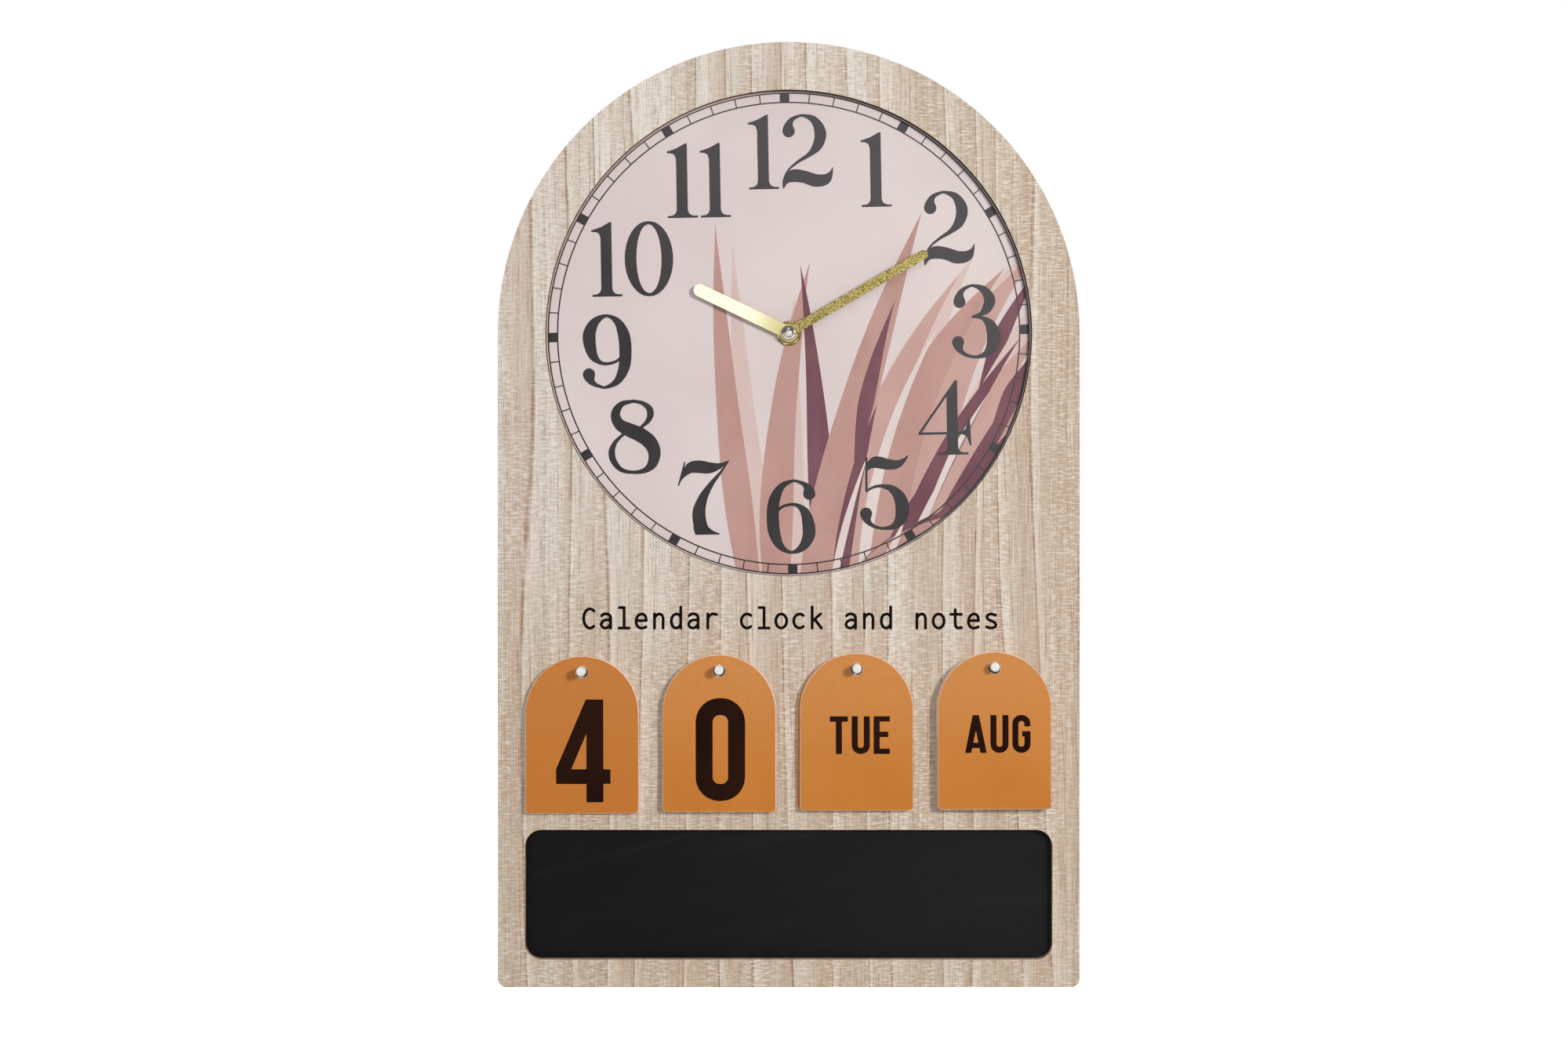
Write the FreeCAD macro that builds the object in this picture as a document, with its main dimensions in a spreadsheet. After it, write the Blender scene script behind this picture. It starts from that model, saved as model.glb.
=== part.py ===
# Arch-topped wall clock with hang-on calendar cards.
#
# Row frame: +Z up, the dial faces -Y, and the origin is the centre of the hook hole in the
# steel hanger. Every sub-part is drawn in "front view": local X to the right, local Y up,
# local Z towards the viewer, centred on the hand axis. place() then stands it in the row
# frame. The depth coordinate "w" is counted forward from the front face of the movement.
import FreeCAD, Part, Sketcher
import math
import os
import re

from FreeCAD import Placement, Rotation, Vector

doc = FreeCAD.newDocument("arch_clock")

# --------------------------------------------------------------------------------------
# Driving dimensions, millimetres and degrees
# --------------------------------------------------------------------------------------
DIMENSIONS = [
    # board
    ("board_width", 300, "overall width, and diameter of the arched top"),
    ("board_drop", 337.5, "hand axis to the bottom edge"),
    ("board_corner", 4.5, "bottom corner radius"),
    ("back_thick", 3, "back panel"),
    ("core_thick", 5.4, "front panel core"),
    ("veneer_thick", 0.6, "wood veneer"),
    ("dial_opening", 251, "diameter of the dial opening"),
    ("dial_thick", 1, "printed dial disc"),
    ("board_thick", 1, "chalkboard panel"),
    ("chalk_width", 272, "chalkboard opening"),
    ("chalk_height", 66.8, "chalkboard opening"),
    ("chalk_corner", 8.5, "chalkboard opening corner radius"),
    ("chalk_drop", 289.7, "hand axis to the chalkboard centre"),
    ("inset_gap", 0.3, "gap round the dial and the chalkboard in their openings"),
    ("bush_hole", 8.4, "hole for the threaded bushing"),
    # pegs and cards
    ("peg_dia", 4.8, "card peg diameter"),
    ("peg_reach", 15, "peg length in front of the board"),
    ("peg_pitch", 70.6, "peg spacing"),
    ("peg_rise", 0.8, "each peg above its left neighbour"),
    ("peg_shift", -0.4, "middle of the row of pegs, sideways from the hand axis"),
    ("peg_drop", 172.9, "hand axis to the row of pegs"),
    ("peg_dome", 0.9, "rounding of the peg's end"),
    ("card_width", 58.2, "card width, and diameter of its arched top"),
    ("card_drop", 51.7, "centre of the card's arch to its bottom edge"),
    ("card_corner", 2, "card bottom corner radius"),
    ("card_thick", 1.2, "card"),
    ("card_gap", 0.15, "air between two cards of a stack"),
    ("card_hole", 6.3, "hole in a card"),
    ("card_hole_rise", 20.9, "hole centre above the centre of the card's arch"),
    ("card_round", 0.3, "rounded rims of a card"),
    ("card_play", 0.02, "gap between peg and card where the card hangs"),
    # hanger, washers, nut, bumpers
    ("hook_rise", 38, "hand axis to the hook hole"),
    ("hook_dia", 8, "hook hole"),
    ("hanger_thick", 1, "steel sheet of the hanger"),
    ("hanger_width", 24, "hanger width"),
    ("hanger_foot", 12, "hand axis down to the end of the hanger's plate"),
    ("shelf_gap", 0.7, "gap between the case and the hanger's shelf"),
    ("tab_rise", 8, "hook hole up to the end of the hook tab"),
    ("hanger_setback", 12.5, "front of the movement back to the middle of the hook tab"),
    ("rubber_dia", 18, "rubber washer"),
    ("rubber_thick", 1, "rubber washer"),
    ("washer_dia", 12.8, "brass washer"),
    ("washer_thick", 0.5, "brass washer"),
    ("nut_flats", 11, "hex nut across flats"),
    ("nut_thick", 2.2, "hex nut"),
    ("bumper_dia", 22, "foam bumper"),
    ("bumper_side", 118, "bumper sideways from the middle"),
    ("bumper_drop", 312, "hand axis down to the bumpers"),
    ("bumper_length", 20, "bumper, from the board to the wall"),
    # hands
    ("hand_thick", 0.4, "brass hands"),
    ("hour_length", 54, "hour hand, axis to tip"),
    ("hour_width", 6.5, "hour hand blade"),
    ("hour_eye", 8.8, "hour hand eye"),
    ("hour_level", 10.0, "hour hand rear face"),
    ("hour_angle", 295.6, "hour hand clockwise from 12"),
    ("minute_length", 82.5, "minute hand, axis to tip"),
    ("minute_width", 4.9, "minute hand blade"),
    ("minute_eye", 7.6, "minute hand eye"),
    ("minute_level", 12.4, "minute hand rear face"),
    ("minute_angle", 59.9, "minute hand clockwise from 12"),
    ("collet_wall", 0.6, "collet round a hand's bore"),
    ("hour_collet", 0.4, "hour hand collet, behind the hand"),
    ("press_fit", 0.02, "gap round the tubes that carry the hands"),
    ("capnut_rim", 7, "cap nut rim"),
    ("capnut_flange", 0.5, "cap nut rim, thickness"),
    ("capnut_dome", 5.3, "cap nut dome"),
    ("capnut_height", 3.4, "cap nut"),
    ("capnut_depth", 2.2, "blind bore of the cap nut"),
    # movement case
    ("case_side", 56, "movement case, square"),
    ("case_depth", 16, "movement case"),
    ("case_wall", 1.4, "case side walls"),
    ("case_front", 1.5, "case front wall"),
    ("case_corner", 3, "case corner radius"),
    ("bush_dia", 8, "threaded bushing"),
    ("bush_length", 9.4, "threaded bushing"),
    ("bush_bore", 5.3, "bore for the hour tube"),
    ("bush_chamfer", 0.4, "chamfer at the end of the bushing"),
    ("post_foot", 3.4, "case posts in front of the middle plate"),
    ("post_waist", 2.2, "case posts between the plates"),
    ("post_tip", 1.2, "case posts through the bridge"),
    ("cover_thick", 1.2, "rear cover"),
    ("bay_floor", 0.8, "case front wall behind the battery"),
    ("bay_top", -11.6, "top of the battery bay"),
    ("rib_thick", 1, "wall between battery and wheels"),
    ("cell_dia", 14.5, "AA battery"),
    ("cell_length", 49.5, "AA battery without its nub"),
    ("nub_dia", 5.5, "battery nub"),
    ("nub_length", 1, "battery nub"),
    ("cell_z", -19, "height of the battery axis"),
    # going train and motion work
    ("fine_module", 0.3, "module of rotor, fifth, seconds and third wheel meshes"),
    ("centre_distance", 10.2, "hand axis to third wheel arbor"),
    ("motion_distance", 9, "hand axis to motion wheel, and motion wheel to knob"),
    ("third_bearing", 45, "third wheel arbor, degrees from +X"),
    ("fifth_bearing", 150, "fifth wheel arbor, degrees from +X"),
    ("rotor_bearing", 100, "rotor seen from the fifth wheel, degrees from +X"),
    ("knob_bearing", -20, "knob seen from the motion wheel, degrees from +X"),
    ("pivot_dia", 0.8, "arbor pivots"),
    ("arbor_dia", 1.0, "arbors"),
    ("hole_play", 0.04, "radial running clearance of pivots and tubes"),
    ("hour_tube", 5.1, "hour wheel tube, outside"),
    ("hour_bore", 3.2, "hour wheel tube, inside"),
    ("pipe_dia", 3.08, "minute pipe"),
    ("pipe_bore", 1.1, "minute pipe, inside"),
    ("pipe_tip", 2.4, "minute pipe tip that carries the hand"),
    ("pipe_hub", 2.6, "minute pipe where the centre wheel runs on it"),
    ("tip_reach", 2, "minute pipe tip in front of the minute hand"),
    ("tube_reach", 0.3, "hour tube in front of the hour hand"),
    ("pivot_seat", 0.7, "front ends of the motion work's pivots, behind the case front"),
    ("magnet_dia", 6, "rotor magnet"),
    ("stator_hole", 7.4, "hole in the stator round the rotor"),
    ("stator_thick", 1.2, "stator"),
    ("yoke_half", 5.5, "rotor to the edges of the stator's yoke"),
    ("foot_side", 4.3, "rotor to the feet under the stator"),
    ("stator_end", 24.8, "right end of the stator's legs"),
    ("core_half", 1.2, "half the width of the stator's core in the coil"),
    ("coil_z", 21.9, "height of the coil axis"),
    ("coil_start", -2, "left end of the bobbin"),
    ("coil_stop", 22, "right end of the bobbin"),
    ("coil_dia", 6.4, "coil winding"),
    ("bobbin_dia", 7, "bobbin flanges"),
    ("barrel_dia", 4, "bobbin barrel"),
    ("flange_thick", 0.6, "bobbin flanges"),
    ("coil_play", 0.02, "gap between the winding and its bobbin"),
    ("slot_play", 0.05, "gap round the core in the bobbin"),
    ("knob_dia", 12, "setting knob"),
    ("knob_shaft", 2.4, "setting knob shaft"),
    ("knob_grip", 1.4, "setting knob grip"),
    ("knob_gap", 0.2, "gap between the rear cover and the knob"),
    ("notch_dia", 1.2, "notches round the knob"),
    # electronics and contacts
    ("circuit_thick", 0.6, "circuit board"),
    ("crystal_dia", 1.5, "crystal can"),
    ("crystal_length", 5.2, "crystal can"),
    ("contact_thick", 0.35, "positive contact"),
    ("contact_gap", 0.1, "gap between the contacts and the walls of the bay"),
    ("contact_half", 4.5, "half the height of the positive contact"),
    ("spring_thick", 0.3, "negative contact"),
    ("spring_reach", 2, "negative contact, out to its crest"),
    ("spring_half", 5, "half the height of the negative contact"),
    ("contact_rear", -12, "rear edge of both contacts"),
    ("contact_depth", 8, "both contacts, front to rear"),
]

ALIASES = {alias for alias, value, meaning in DIMENSIONS}
sheet = doc.addObject("Spreadsheet::Sheet", "Dims")
for row, (alias, value, meaning) in enumerate(DIMENSIONS, start=1):
    sheet.set(f"A{row}", meaning)
    sheet.set(f"B{row}", str(value))
    sheet.setAlias(f"B{row}", alias)
doc.recompute()


def expression(text):
    """A sheet expression: every alias word in the text is looked up in the sheet."""
    return re.sub(r"[a-z_]+", lambda word: f"Dims.{word[0]}" if word[0] in ALIASES else word[0], str(text))


def value(text):
    """The number that an expression gives."""
    return float(sheet.evalExpression(expression(text)))


def bind(item, **sizes):
    """Bind properties of an object to sheet expressions."""
    for name, text in sizes.items():
        item.setExpression(name, expression(text))
    return item


# --------------------------------------------------------------------------------------
# Depth levels, counted forward from the front face of the movement
# --------------------------------------------------------------------------------------
RUBBER_W = "hanger_thick"
BACK_W = "hanger_thick + rubber_thick"
CORE_W = BACK_W + " + back_thick"
VENEER_W = CORE_W + " + core_thick"
FACE_W = VENEER_W + " + veneer_thick"
WASHER_W = CORE_W + " + dial_thick"
NUT_W = WASHER_W + " + washer_thick"

# Levels inside the movement case, front face and rear face of each layer.
HOUR_WHEEL = (-1.7, -2.5)
MOTION_PINION = (-1.7, -2.9)
MOTION_WHEEL = (-2.9, -3.7)
MINUTE_PINION = (-2.7, -3.95)
MIDDLE_PLATE = (-4.2, -5.2)
CENTRE_WHEEL = (-5.5, -6.3)
THIRD_PINION = (-5.4, -6.7)
THIRD_WHEEL = (-7.0, -7.8)
SECONDS_PINION = (-6.7, -8.0)
SECONDS_WHEEL = (-8.3, -9.1)
FIFTH_PINION = (-8.15, -9.4)
FIFTH_WHEEL = (-9.7, -10.5)
ROTOR_PINION = (-9.4, -10.8)
MAGNET = (-6.4, -8.8)
STATOR_FRONT = -7.0
BRIDGE = (-11.3, -12.3)
CIRCUIT_FRONT = BRIDGE[1]


def bearing(start, distance, degrees):
    """The point at a distance from a start point, in a direction given in degrees from +X."""
    angle = math.radians(degrees)
    return (start[0] + distance * math.cos(angle), start[1] + distance * math.sin(angle))


AXIS = (0.0, 0.0)
POSTS = ((-22.5, -7.5), (23.5, -8.0), (23.5, 13.0), (-22.5, 22.5))
STATOR_POST = (23.7, 18.4)
THIRD = bearing(AXIS, value("centre_distance"), value("third_bearing"))
FIFTH = bearing(AXIS, value("fine_module * (60 + 10) / 2"), value("fifth_bearing"))
ROTOR = bearing(FIFTH, value("fine_module * (60 + 12) / 2"), value("rotor_bearing"))
MOTION = bearing(AXIS, value("motion_distance"), 0)
KNOB = bearing(MOTION, value("motion_distance"), value("knob_bearing"))

PARTS = []


def place(x=0.0, y=0.0, w=0.0, turn=0.0):
    """Stand a front-view shape in the row frame: x right, y up and w forward of the movement."""
    base = Vector(x, -value("hanger_setback") - w, y - value("hook_rise"))
    return Placement(base, Rotation(Vector(1, 0, 0), 90) * Rotation(Vector(0, 0, 1), turn))


def finish(item, label, x=0.0, y=0.0, w=0.0, turn=0.0):
    """Give a sub-part its label and its place."""
    item.Label = label
    item.Placement = place(x, y, w, turn)
    PARTS.append(item)
    return item


# --------------------------------------------------------------------------------------
# Primitives and booleans
# --------------------------------------------------------------------------------------
def locate(item, at):
    for axis_name, text in zip("xyz", at):
        item.setExpression(f"Placement.Base.{axis_name}", expression(text))
    return item


def cylinder(name, diameter, height, at=(0, 0, 0)):
    """A cylinder along local Z, standing on the point at."""
    item = doc.addObject("Part::Cylinder", name)
    bind(item, Radius=f"({diameter}) / 2", Height=height)
    return locate(item, at)


def cylinder_x(name, diameter, length, at):
    """A cylinder along local X, starting at the point at."""
    item = cylinder(name, diameter, length)
    item.Placement = Placement(Vector(0, 0, 0), Rotation(Vector(0, 1, 0), 90))
    return locate(item, at)


def box(name, low, high):
    """A box between two corners given as expressions."""
    item = doc.addObject("Part::Box", name)
    spans = [f"({b}) - ({a})" for a, b in zip(low, high)]
    bind(item, Length=spans[0], Width=spans[1], Height=spans[2])
    return locate(item, low)


def fuse(name, *items):
    item = doc.addObject("Part::MultiFuse", name)
    item.Shapes = list(items)
    item.Refine = True
    return item


def cut(name, base, *tools):
    item = doc.addObject("Part::Cut", name)
    item.Base = base
    item.Tool = tools[0] if len(tools) == 1 else fuse(name + "_tools", *tools)
    item.Refine = True
    return item


# --------------------------------------------------------------------------------------
# Sketches
# --------------------------------------------------------------------------------------
def new_sketch(body, name, role="XY_Plane"):
    plane = next(item for item in body.Origin.OriginFeatures if item.Role == role)
    sketch = body.newObject("Sketcher::SketchObject", name)
    sketch.AttachmentSupport = [(plane, "")]
    sketch.MapMode = "FlatFace"
    return sketch


START, END, CENTRE = 1, 2, 3
ORIGIN = (-1, 1)
NORMAL = Vector(0, 0, 1)


def drive(sketch, kind, *where, size):
    """Add a dimension to a sketch and bind it to a sheet expression."""
    index = sketch.addConstraint(Sketcher.Constraint(kind, *where, value(size)))
    sketch.setExpression(f"Constraints[{index}]", expression(size))


def pin_point(sketch, geometry, point, x, y):
    """Hold a sketch point at x, y from the origin, each an expression."""
    drive(sketch, "DistanceX", *ORIGIN, geometry, point, size=x)
    drive(sketch, "DistanceY", *ORIGIN, geometry, point, size=y)


def join_tangent(sketch, loop):
    """Join the pieces of a closed outline end to start, each tangent to the next."""
    for first, second in zip(loop, loop[1:] + loop[:1]):
        sketch.addConstraint(Sketcher.Constraint("Tangent", first, END, second, START))


def arc(x, y, radius, start, stop):
    circle = Part.Circle(Vector(x, y, 0), NORMAL, radius)
    return Part.ArcOfCircle(circle, math.radians(start), math.radians(stop))


def line(x1, y1, x2, y2):
    return Part.LineSegment(Vector(x1, y1, 0), Vector(x2, y2, 0))


def arch_outline(sketch, width, drop, corner):
    """Semicircular top centred on the origin, straight sides, rounded bottom corners."""
    half, low, soft = value(width) / 2, -value(drop), value(corner)
    first = sketch.GeometryCount
    sketch.addGeometry([
        arc(0, 0, half, 0, 180),
        line(-half, 0, -half, low + soft),
        arc(-half + soft, low + soft, soft, 180, 270),
        line(-half + soft, low, half - soft, low),
        arc(half - soft, low + soft, soft, 270, 360),
        line(half, low + soft, half, 0),
    ])
    top, left, left_corner, bottom, right_corner, right = range(first, first + 6)
    join_tangent(sketch, [top, left, left_corner, bottom, right_corner, right])
    sketch.addConstraint(Sketcher.Constraint("Coincident", top, CENTRE, *ORIGIN))
    sketch.addConstraint(Sketcher.Constraint("Horizontal", bottom))
    sketch.addConstraint(Sketcher.Constraint("Equal", left_corner, right_corner))
    drive(sketch, "Radius", top, size=f"({width}) / 2")
    drive(sketch, "Radius", left_corner, size=corner)
    drive(sketch, "DistanceY", *ORIGIN, bottom, START, size=f"-({drop})")


def rounded_rectangle(sketch, width, height, corner, drop="0"):
    """A rounded rectangle centred below the origin by drop."""
    half, tall, soft, y = value(width) / 2, value(height) / 2, value(corner), -value(drop)
    first = sketch.GeometryCount
    sketch.addGeometry([
        line(-half, y + tall - soft, -half, y - tall + soft),
        arc(-half + soft, y - tall + soft, soft, 180, 270),
        line(-half + soft, y - tall, half - soft, y - tall),
        arc(half - soft, y - tall + soft, soft, 270, 360),
        line(half, y - tall + soft, half, y + tall - soft),
        arc(half - soft, y + tall - soft, soft, 0, 90),
        line(half - soft, y + tall, -half + soft, y + tall),
        arc(-half + soft, y + tall - soft, soft, 90, 180),
    ])
    loop = list(range(first, first + 8))
    join_tangent(sketch, loop)
    for corner_arc in loop[3::2]:
        sketch.addConstraint(Sketcher.Constraint("Equal", loop[1], corner_arc))
    sketch.addConstraint(Sketcher.Constraint("Vertical", loop[0]))
    sketch.addConstraint(Sketcher.Constraint("Horizontal", loop[2]))
    drive(sketch, "Radius", loop[1], size=corner)
    pin_point(sketch, loop[1], CENTRE, f"({corner}) - ({width}) / 2",
              f"({corner}) - ({height}) / 2 - ({drop})")
    pin_point(sketch, loop[5], CENTRE, f"({width}) / 2 - ({corner})",
              f"({height}) / 2 - ({corner}) - ({drop})")


def round_hole(sketch, diameter, x="0", y="0"):
    circle = Part.Circle(Vector(value(x), value(y), 0), NORMAL, value(diameter) / 2)
    index = sketch.addGeometry(circle)
    drive(sketch, "Radius", index, size=f"({diameter}) / 2")
    if x == "0" and y == "0":
        sketch.addConstraint(Sketcher.Constraint("Coincident", index, CENTRE, *ORIGIN))
    else:
        pin_point(sketch, index, CENTRE, x, y)


def polygon(sketch, points):
    """A closed outline of straight runs, each corner held by two sheet expressions."""
    corners = [Vector(value(x), value(y), 0) for x, y in points]
    first = sketch.GeometryCount
    lines = [Part.LineSegment(a, b) for a, b in zip(corners, corners[1:] + corners[:1])]
    sketch.addGeometry(lines)
    count = len(lines)
    for index in range(count):
        following = first + (index + 1) % count
        sketch.addConstraint(Sketcher.Constraint("Coincident", first + index, END, following, START))
    for index, (x, y) in enumerate(points):
        pin_point(sketch, first + index, START, x, y)


def new_body(name):
    return doc.addObject("PartDesign::Body", name)


def pad(body, sketch, length, midplane=False):
    item = body.newObject("PartDesign::Pad", sketch.Name + "_pad")
    item.Profile = sketch
    item.Midplane = midplane
    return bind(item, Length=length)


def revolve(body, sketch, around):
    """Turn a profile a full turn about one of the sketch's own axes, such as V_Axis."""
    item = body.newObject("PartDesign::Revolution", sketch.Name + "_turned")
    item.Profile = sketch
    item.ReferenceAxis = (sketch, [around])
    item.Angle = 360
    return item


def round_rims(body, feature, radius):
    """Round every edge that runs round the front face and round the rear face."""
    doc.recompute()
    shape = feature.Shape
    low, high = shape.BoundBox.ZMin, shape.BoundBox.ZMax
    rims = []
    for number, edge in enumerate(shape.Edges, start=1):
        span = edge.BoundBox
        flat = span.ZLength < 1e-6
        if flat and min(abs(span.ZMin - low), abs(span.ZMin - high)) < 1e-6:
            rims.append(f"Edge{number}")
    item = body.newObject("PartDesign::Fillet", feature.Name + "_rims")
    item.Base = (feature, rims)
    return bind(item, Radius=radius)


def turned(label, profile, x=0.0, y=0.0, w=0.0):
    """A lathe part about local Z: the profile is (radius, height) pairs."""
    body = new_body(label)
    sketch = new_sketch(body, label + "_profile", "XZ_Plane")
    polygon(sketch, profile)
    revolve(body, sketch, "V_Axis")
    return finish(body, label, x, y, w)


# --------------------------------------------------------------------------------------
# Board
# --------------------------------------------------------------------------------------
PEG_SLOTS = (-1.5, -0.5, 0.5, 1.5)      # in pitches from the middle of the row


def peg_centre(slot):
    """Where the peg in a slot stands, as two expressions."""
    return f"peg_shift + ({slot}) * peg_pitch", f"({slot}) * peg_rise - peg_drop"


def panel(label, thickness, level, openings):
    """One arched sheet of the board, with or without the two large openings."""
    body = new_body(label)
    sketch = new_sketch(body, label + "_outline")
    arch_outline(sketch, "board_width", "board_drop", "board_corner")
    if openings:
        round_hole(sketch, "dial_opening")
        rounded_rectangle(sketch, "chalk_width", "chalk_height", "chalk_corner", "chalk_drop")
        for slot in PEG_SLOTS:
            round_hole(sketch, "peg_dia + hole_play", *peg_centre(slot))
    else:
        round_hole(sketch, "bush_hole")
    pad(body, sketch, thickness)
    return finish(body, label, w=value(level))


def make_board():
    panel("back_panel", "back_thick", BACK_W, openings=False)
    panel("front_panel", "core_thick", CORE_W, openings=True)
    panel("wood_veneer", "veneer_thick", VENEER_W, openings=True)

    dial = new_body("dial")
    sketch = new_sketch(dial, "dial_outline")
    round_hole(sketch, "dial_opening - 2 * inset_gap")
    round_hole(sketch, "bush_hole")
    pad(dial, sketch, "dial_thick")
    finish(dial, "dial", w=value(CORE_W))

    chalk = new_body("chalkboard")
    sketch = new_sketch(chalk, "chalkboard_outline")
    rounded_rectangle(sketch, "chalk_width - 2 * inset_gap", "chalk_height - 2 * inset_gap",
                      "chalk_corner - inset_gap", "chalk_drop")
    pad(chalk, sketch, "board_thick")
    finish(chalk, "chalkboard", w=value(CORE_W))


def make_pegs():
    """Four dowels with rounded ends, glued through the front panel."""
    dowels = []
    for number, slot in enumerate(PEG_SLOTS, start=1):
        length = f"{FACE_W} - ({CORE_W}) + peg_reach"
        dowel = cylinder(f"dowel_{number}", "peg_dia", length, (*peg_centre(slot), 0))
        doc.recompute()
        rounded = doc.addObject("Part::Fillet", f"dowel_{number}_rounded")
        rounded.Base = dowel
        dome = value("peg_dome")
        rounded.Edges = [(1 + top_rim(dowel.Shape), dome, dome)]
        dowels.append(rounded)
    pegs = doc.addObject("Part::Compound", "pegs")
    pegs.Links = dowels
    finish(pegs, "card_pegs", w=value(CORE_W))


def top_rim(shape):
    """Index of the circular edge that lies furthest forward."""
    heights = [edge.BoundBox.ZMin for edge in shape.Edges]
    return heights.index(max(heights))


# --------------------------------------------------------------------------------------
# Calendar cards
# --------------------------------------------------------------------------------------
# Each stack lists its cards from the board outwards: sideways shift of the punched hole in
# the card, and the tilt at which the card hangs.
STACKS = {
    "tens": (-1.5, [(0.0, 0.3), (0.1, -0.2), (0.0, 0.1)]),
    "units": (-0.5, [(0.1, -0.2), (-0.1, 0.2), (0.1, 0.1), (0.0, 0.0)]),
    "weekday": (0.5, [(1.0, -0.5), (0.2, 0.3), (0.0, -0.1), (0.0, 0.1)]),
    "month": (1.5, [(0.6, 0.4), (-0.2, 0.2), (0.2, -0.2), (0.1, 0.2), (-0.1, -0.1), (0.0, 0.2)]),
}


def card(label, slot, level, shift, tilt):
    """One arch-topped card, hanging on the top of its peg by the rim of its hole."""
    body = new_body(label)
    sketch = new_sketch(body, label + "_outline")
    arch_outline(sketch, "card_width", "card_drop", "card_corner")
    round_hole(sketch, "card_hole", f"{shift}", "card_hole_rise")
    sheet_of_card = pad(body, sketch, "card_thick")
    round_rims(body, sheet_of_card, "card_round")

    # The hole's centre hangs below the peg's by the difference of their radii.
    hang = value("(card_hole - peg_dia) / 2 - card_play")
    hole = Rotation(NORMAL, tilt).multVec(Vector(shift, value("card_hole_rise"), 0))
    peg = Vector(*[value(text) for text in peg_centre(slot)], 0)
    corner = peg - Vector(0, hang, 0) - hole
    finish(body, label, corner.x, corner.y, level, tilt)


def make_cards():
    for stack, (slot, cards) in STACKS.items():
        for number, (shift, tilt) in enumerate(cards, start=1):
            level = value(f"{FACE_W} + card_gap + {number - 1} * (card_thick + card_gap)")
            card(f"{stack}_card_{number}", slot, level, shift, tilt)


# --------------------------------------------------------------------------------------
# Fixings
# --------------------------------------------------------------------------------------
SHELF = "case_side / 2 + shelf_gap"


def make_hanger():
    """Sheet-steel hanger: a plate on the bushing, a shelf over the case and a hook tab."""
    half = "hanger_width / 2"
    top = f"{SHELF} + hanger_thick"
    rear = "-hanger_setback - hanger_thick / 2"
    plate = box("hanger_plate", (f"-{half}", "-hanger_foot", 0), (half, top, "hanger_thick"))
    ledge = box("hanger_ledge", (f"-{half}", SHELF, rear), (half, top, "hanger_thick"))
    tab = box("hanger_tab", (f"-{half}", SHELF, rear),
              (half, "hook_rise + tab_rise", f"{rear} + hanger_thick"))
    bent = fuse("hanger_bent", plate, ledge, tab)
    doc.recompute()
    rounded = doc.addObject("Part::Fillet", "hanger_rounded")
    rounded.Base = bent
    rounded.Edges = hanger_corners(bent.Shape)
    holes = [
        cylinder("hanger_bush_hole", "bush_dia + 5 * hole_play", "3 * hanger_thick",
                 (0, 0, "-hanger_thick")),
        cylinder("hanger_hook_hole", "hook_dia", "3 * hanger_thick",
                 (0, "hook_rise", rear + " - hanger_thick")),
    ]
    finish(cut("hanger", rounded, *holes), "hanger")


def hanger_corners(shape):
    """Edges to round: bend lines along X, and the free corners of the plate and the tab."""
    thick = value("hanger_thick")
    top, bottom = shape.BoundBox.YMax, shape.BoundBox.YMin
    picked = []
    for number, edge in enumerate(shape.Edges, start=1):
        span = edge.BoundBox
        along_z = span.ZLength > 0.5 * thick and span.XLength < 1e-6 and span.YLength < 1e-6
        free_end = min(abs(span.YMin - top), abs(span.YMin - bottom)) < 1e-6
        if along_z and free_end:
            picked.append((number, 4 * thick, 4 * thick))
        elif span.XLength > 1 and span.YLength < 1e-6 and span.ZLength < 1e-6:
            radius = bend_radius(span, thick)
            if radius:
                picked.append((number, radius, radius))
    return picked


def bend_radius(span, thick):
    """Radius of a bend line of the hanger: larger outside the bend than inside, or none."""
    shelf = value(SHELF)
    front, rear = thick, -value("hanger_setback") + thick / 2
    outer = [(shelf + thick, front), (shelf, rear - thick)]
    inner = [(shelf, 0.0), (shelf + thick, rear)]
    here = (span.YMin, span.ZMin)
    if any(math.dist(here, line_at) < 1e-6 for line_at in outer):
        return 0.95 * thick
    if any(math.dist(here, line_at) < 1e-6 for line_at in inner):
        return 0.5 * thick
    return 0


def ring(label, outer, inner, thickness, level):
    disc = cylinder(label + "_disc", outer, thickness)
    hole = cylinder(label + "_hole", inner, f"{thickness} + 2", (0, 0, -1))
    finish(cut(label, disc, hole), label, w=value(level))


def make_nut():
    """Hexagonal nut with its front corners turned off."""
    prism = doc.addObject("Part::Prism", "nut_prism")
    prism.Polygon = 6
    bind(prism, Circumradius="nut_flats / sqrt(3)", Height="nut_thick")
    cone = doc.addObject("Part::Cone", "nut_cone")
    bind(cone, Radius1="nut_flats / 2 + nut_thick", Radius2="nut_flats / 2 - 0.1", Height="nut_thick")
    turned_prism = doc.addObject("Part::MultiCommon", "nut_turned")
    turned_prism.Shapes = [prism, cone]
    bore = cylinder("nut_bore", "bush_dia + 2 * hole_play", "nut_thick + 2", (0, 0, -1))
    finish(cut("hex_nut", turned_prism, bore), "hex_nut", w=value(NUT_W), turn=12)


def make_bumpers():
    pads = []
    for number, side in enumerate((-1, 1), start=1):
        pads.append(cylinder(f"bumper_{number}", "bumper_dia", "bumper_length",
                             (f"{side} * bumper_side", "-bumper_drop", "-bumper_length")))
    pair = doc.addObject("Part::Compound", "bumpers")
    pair.Links = pads
    finish(pair, "wall_bumpers", w=value(BACK_W))


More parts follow.
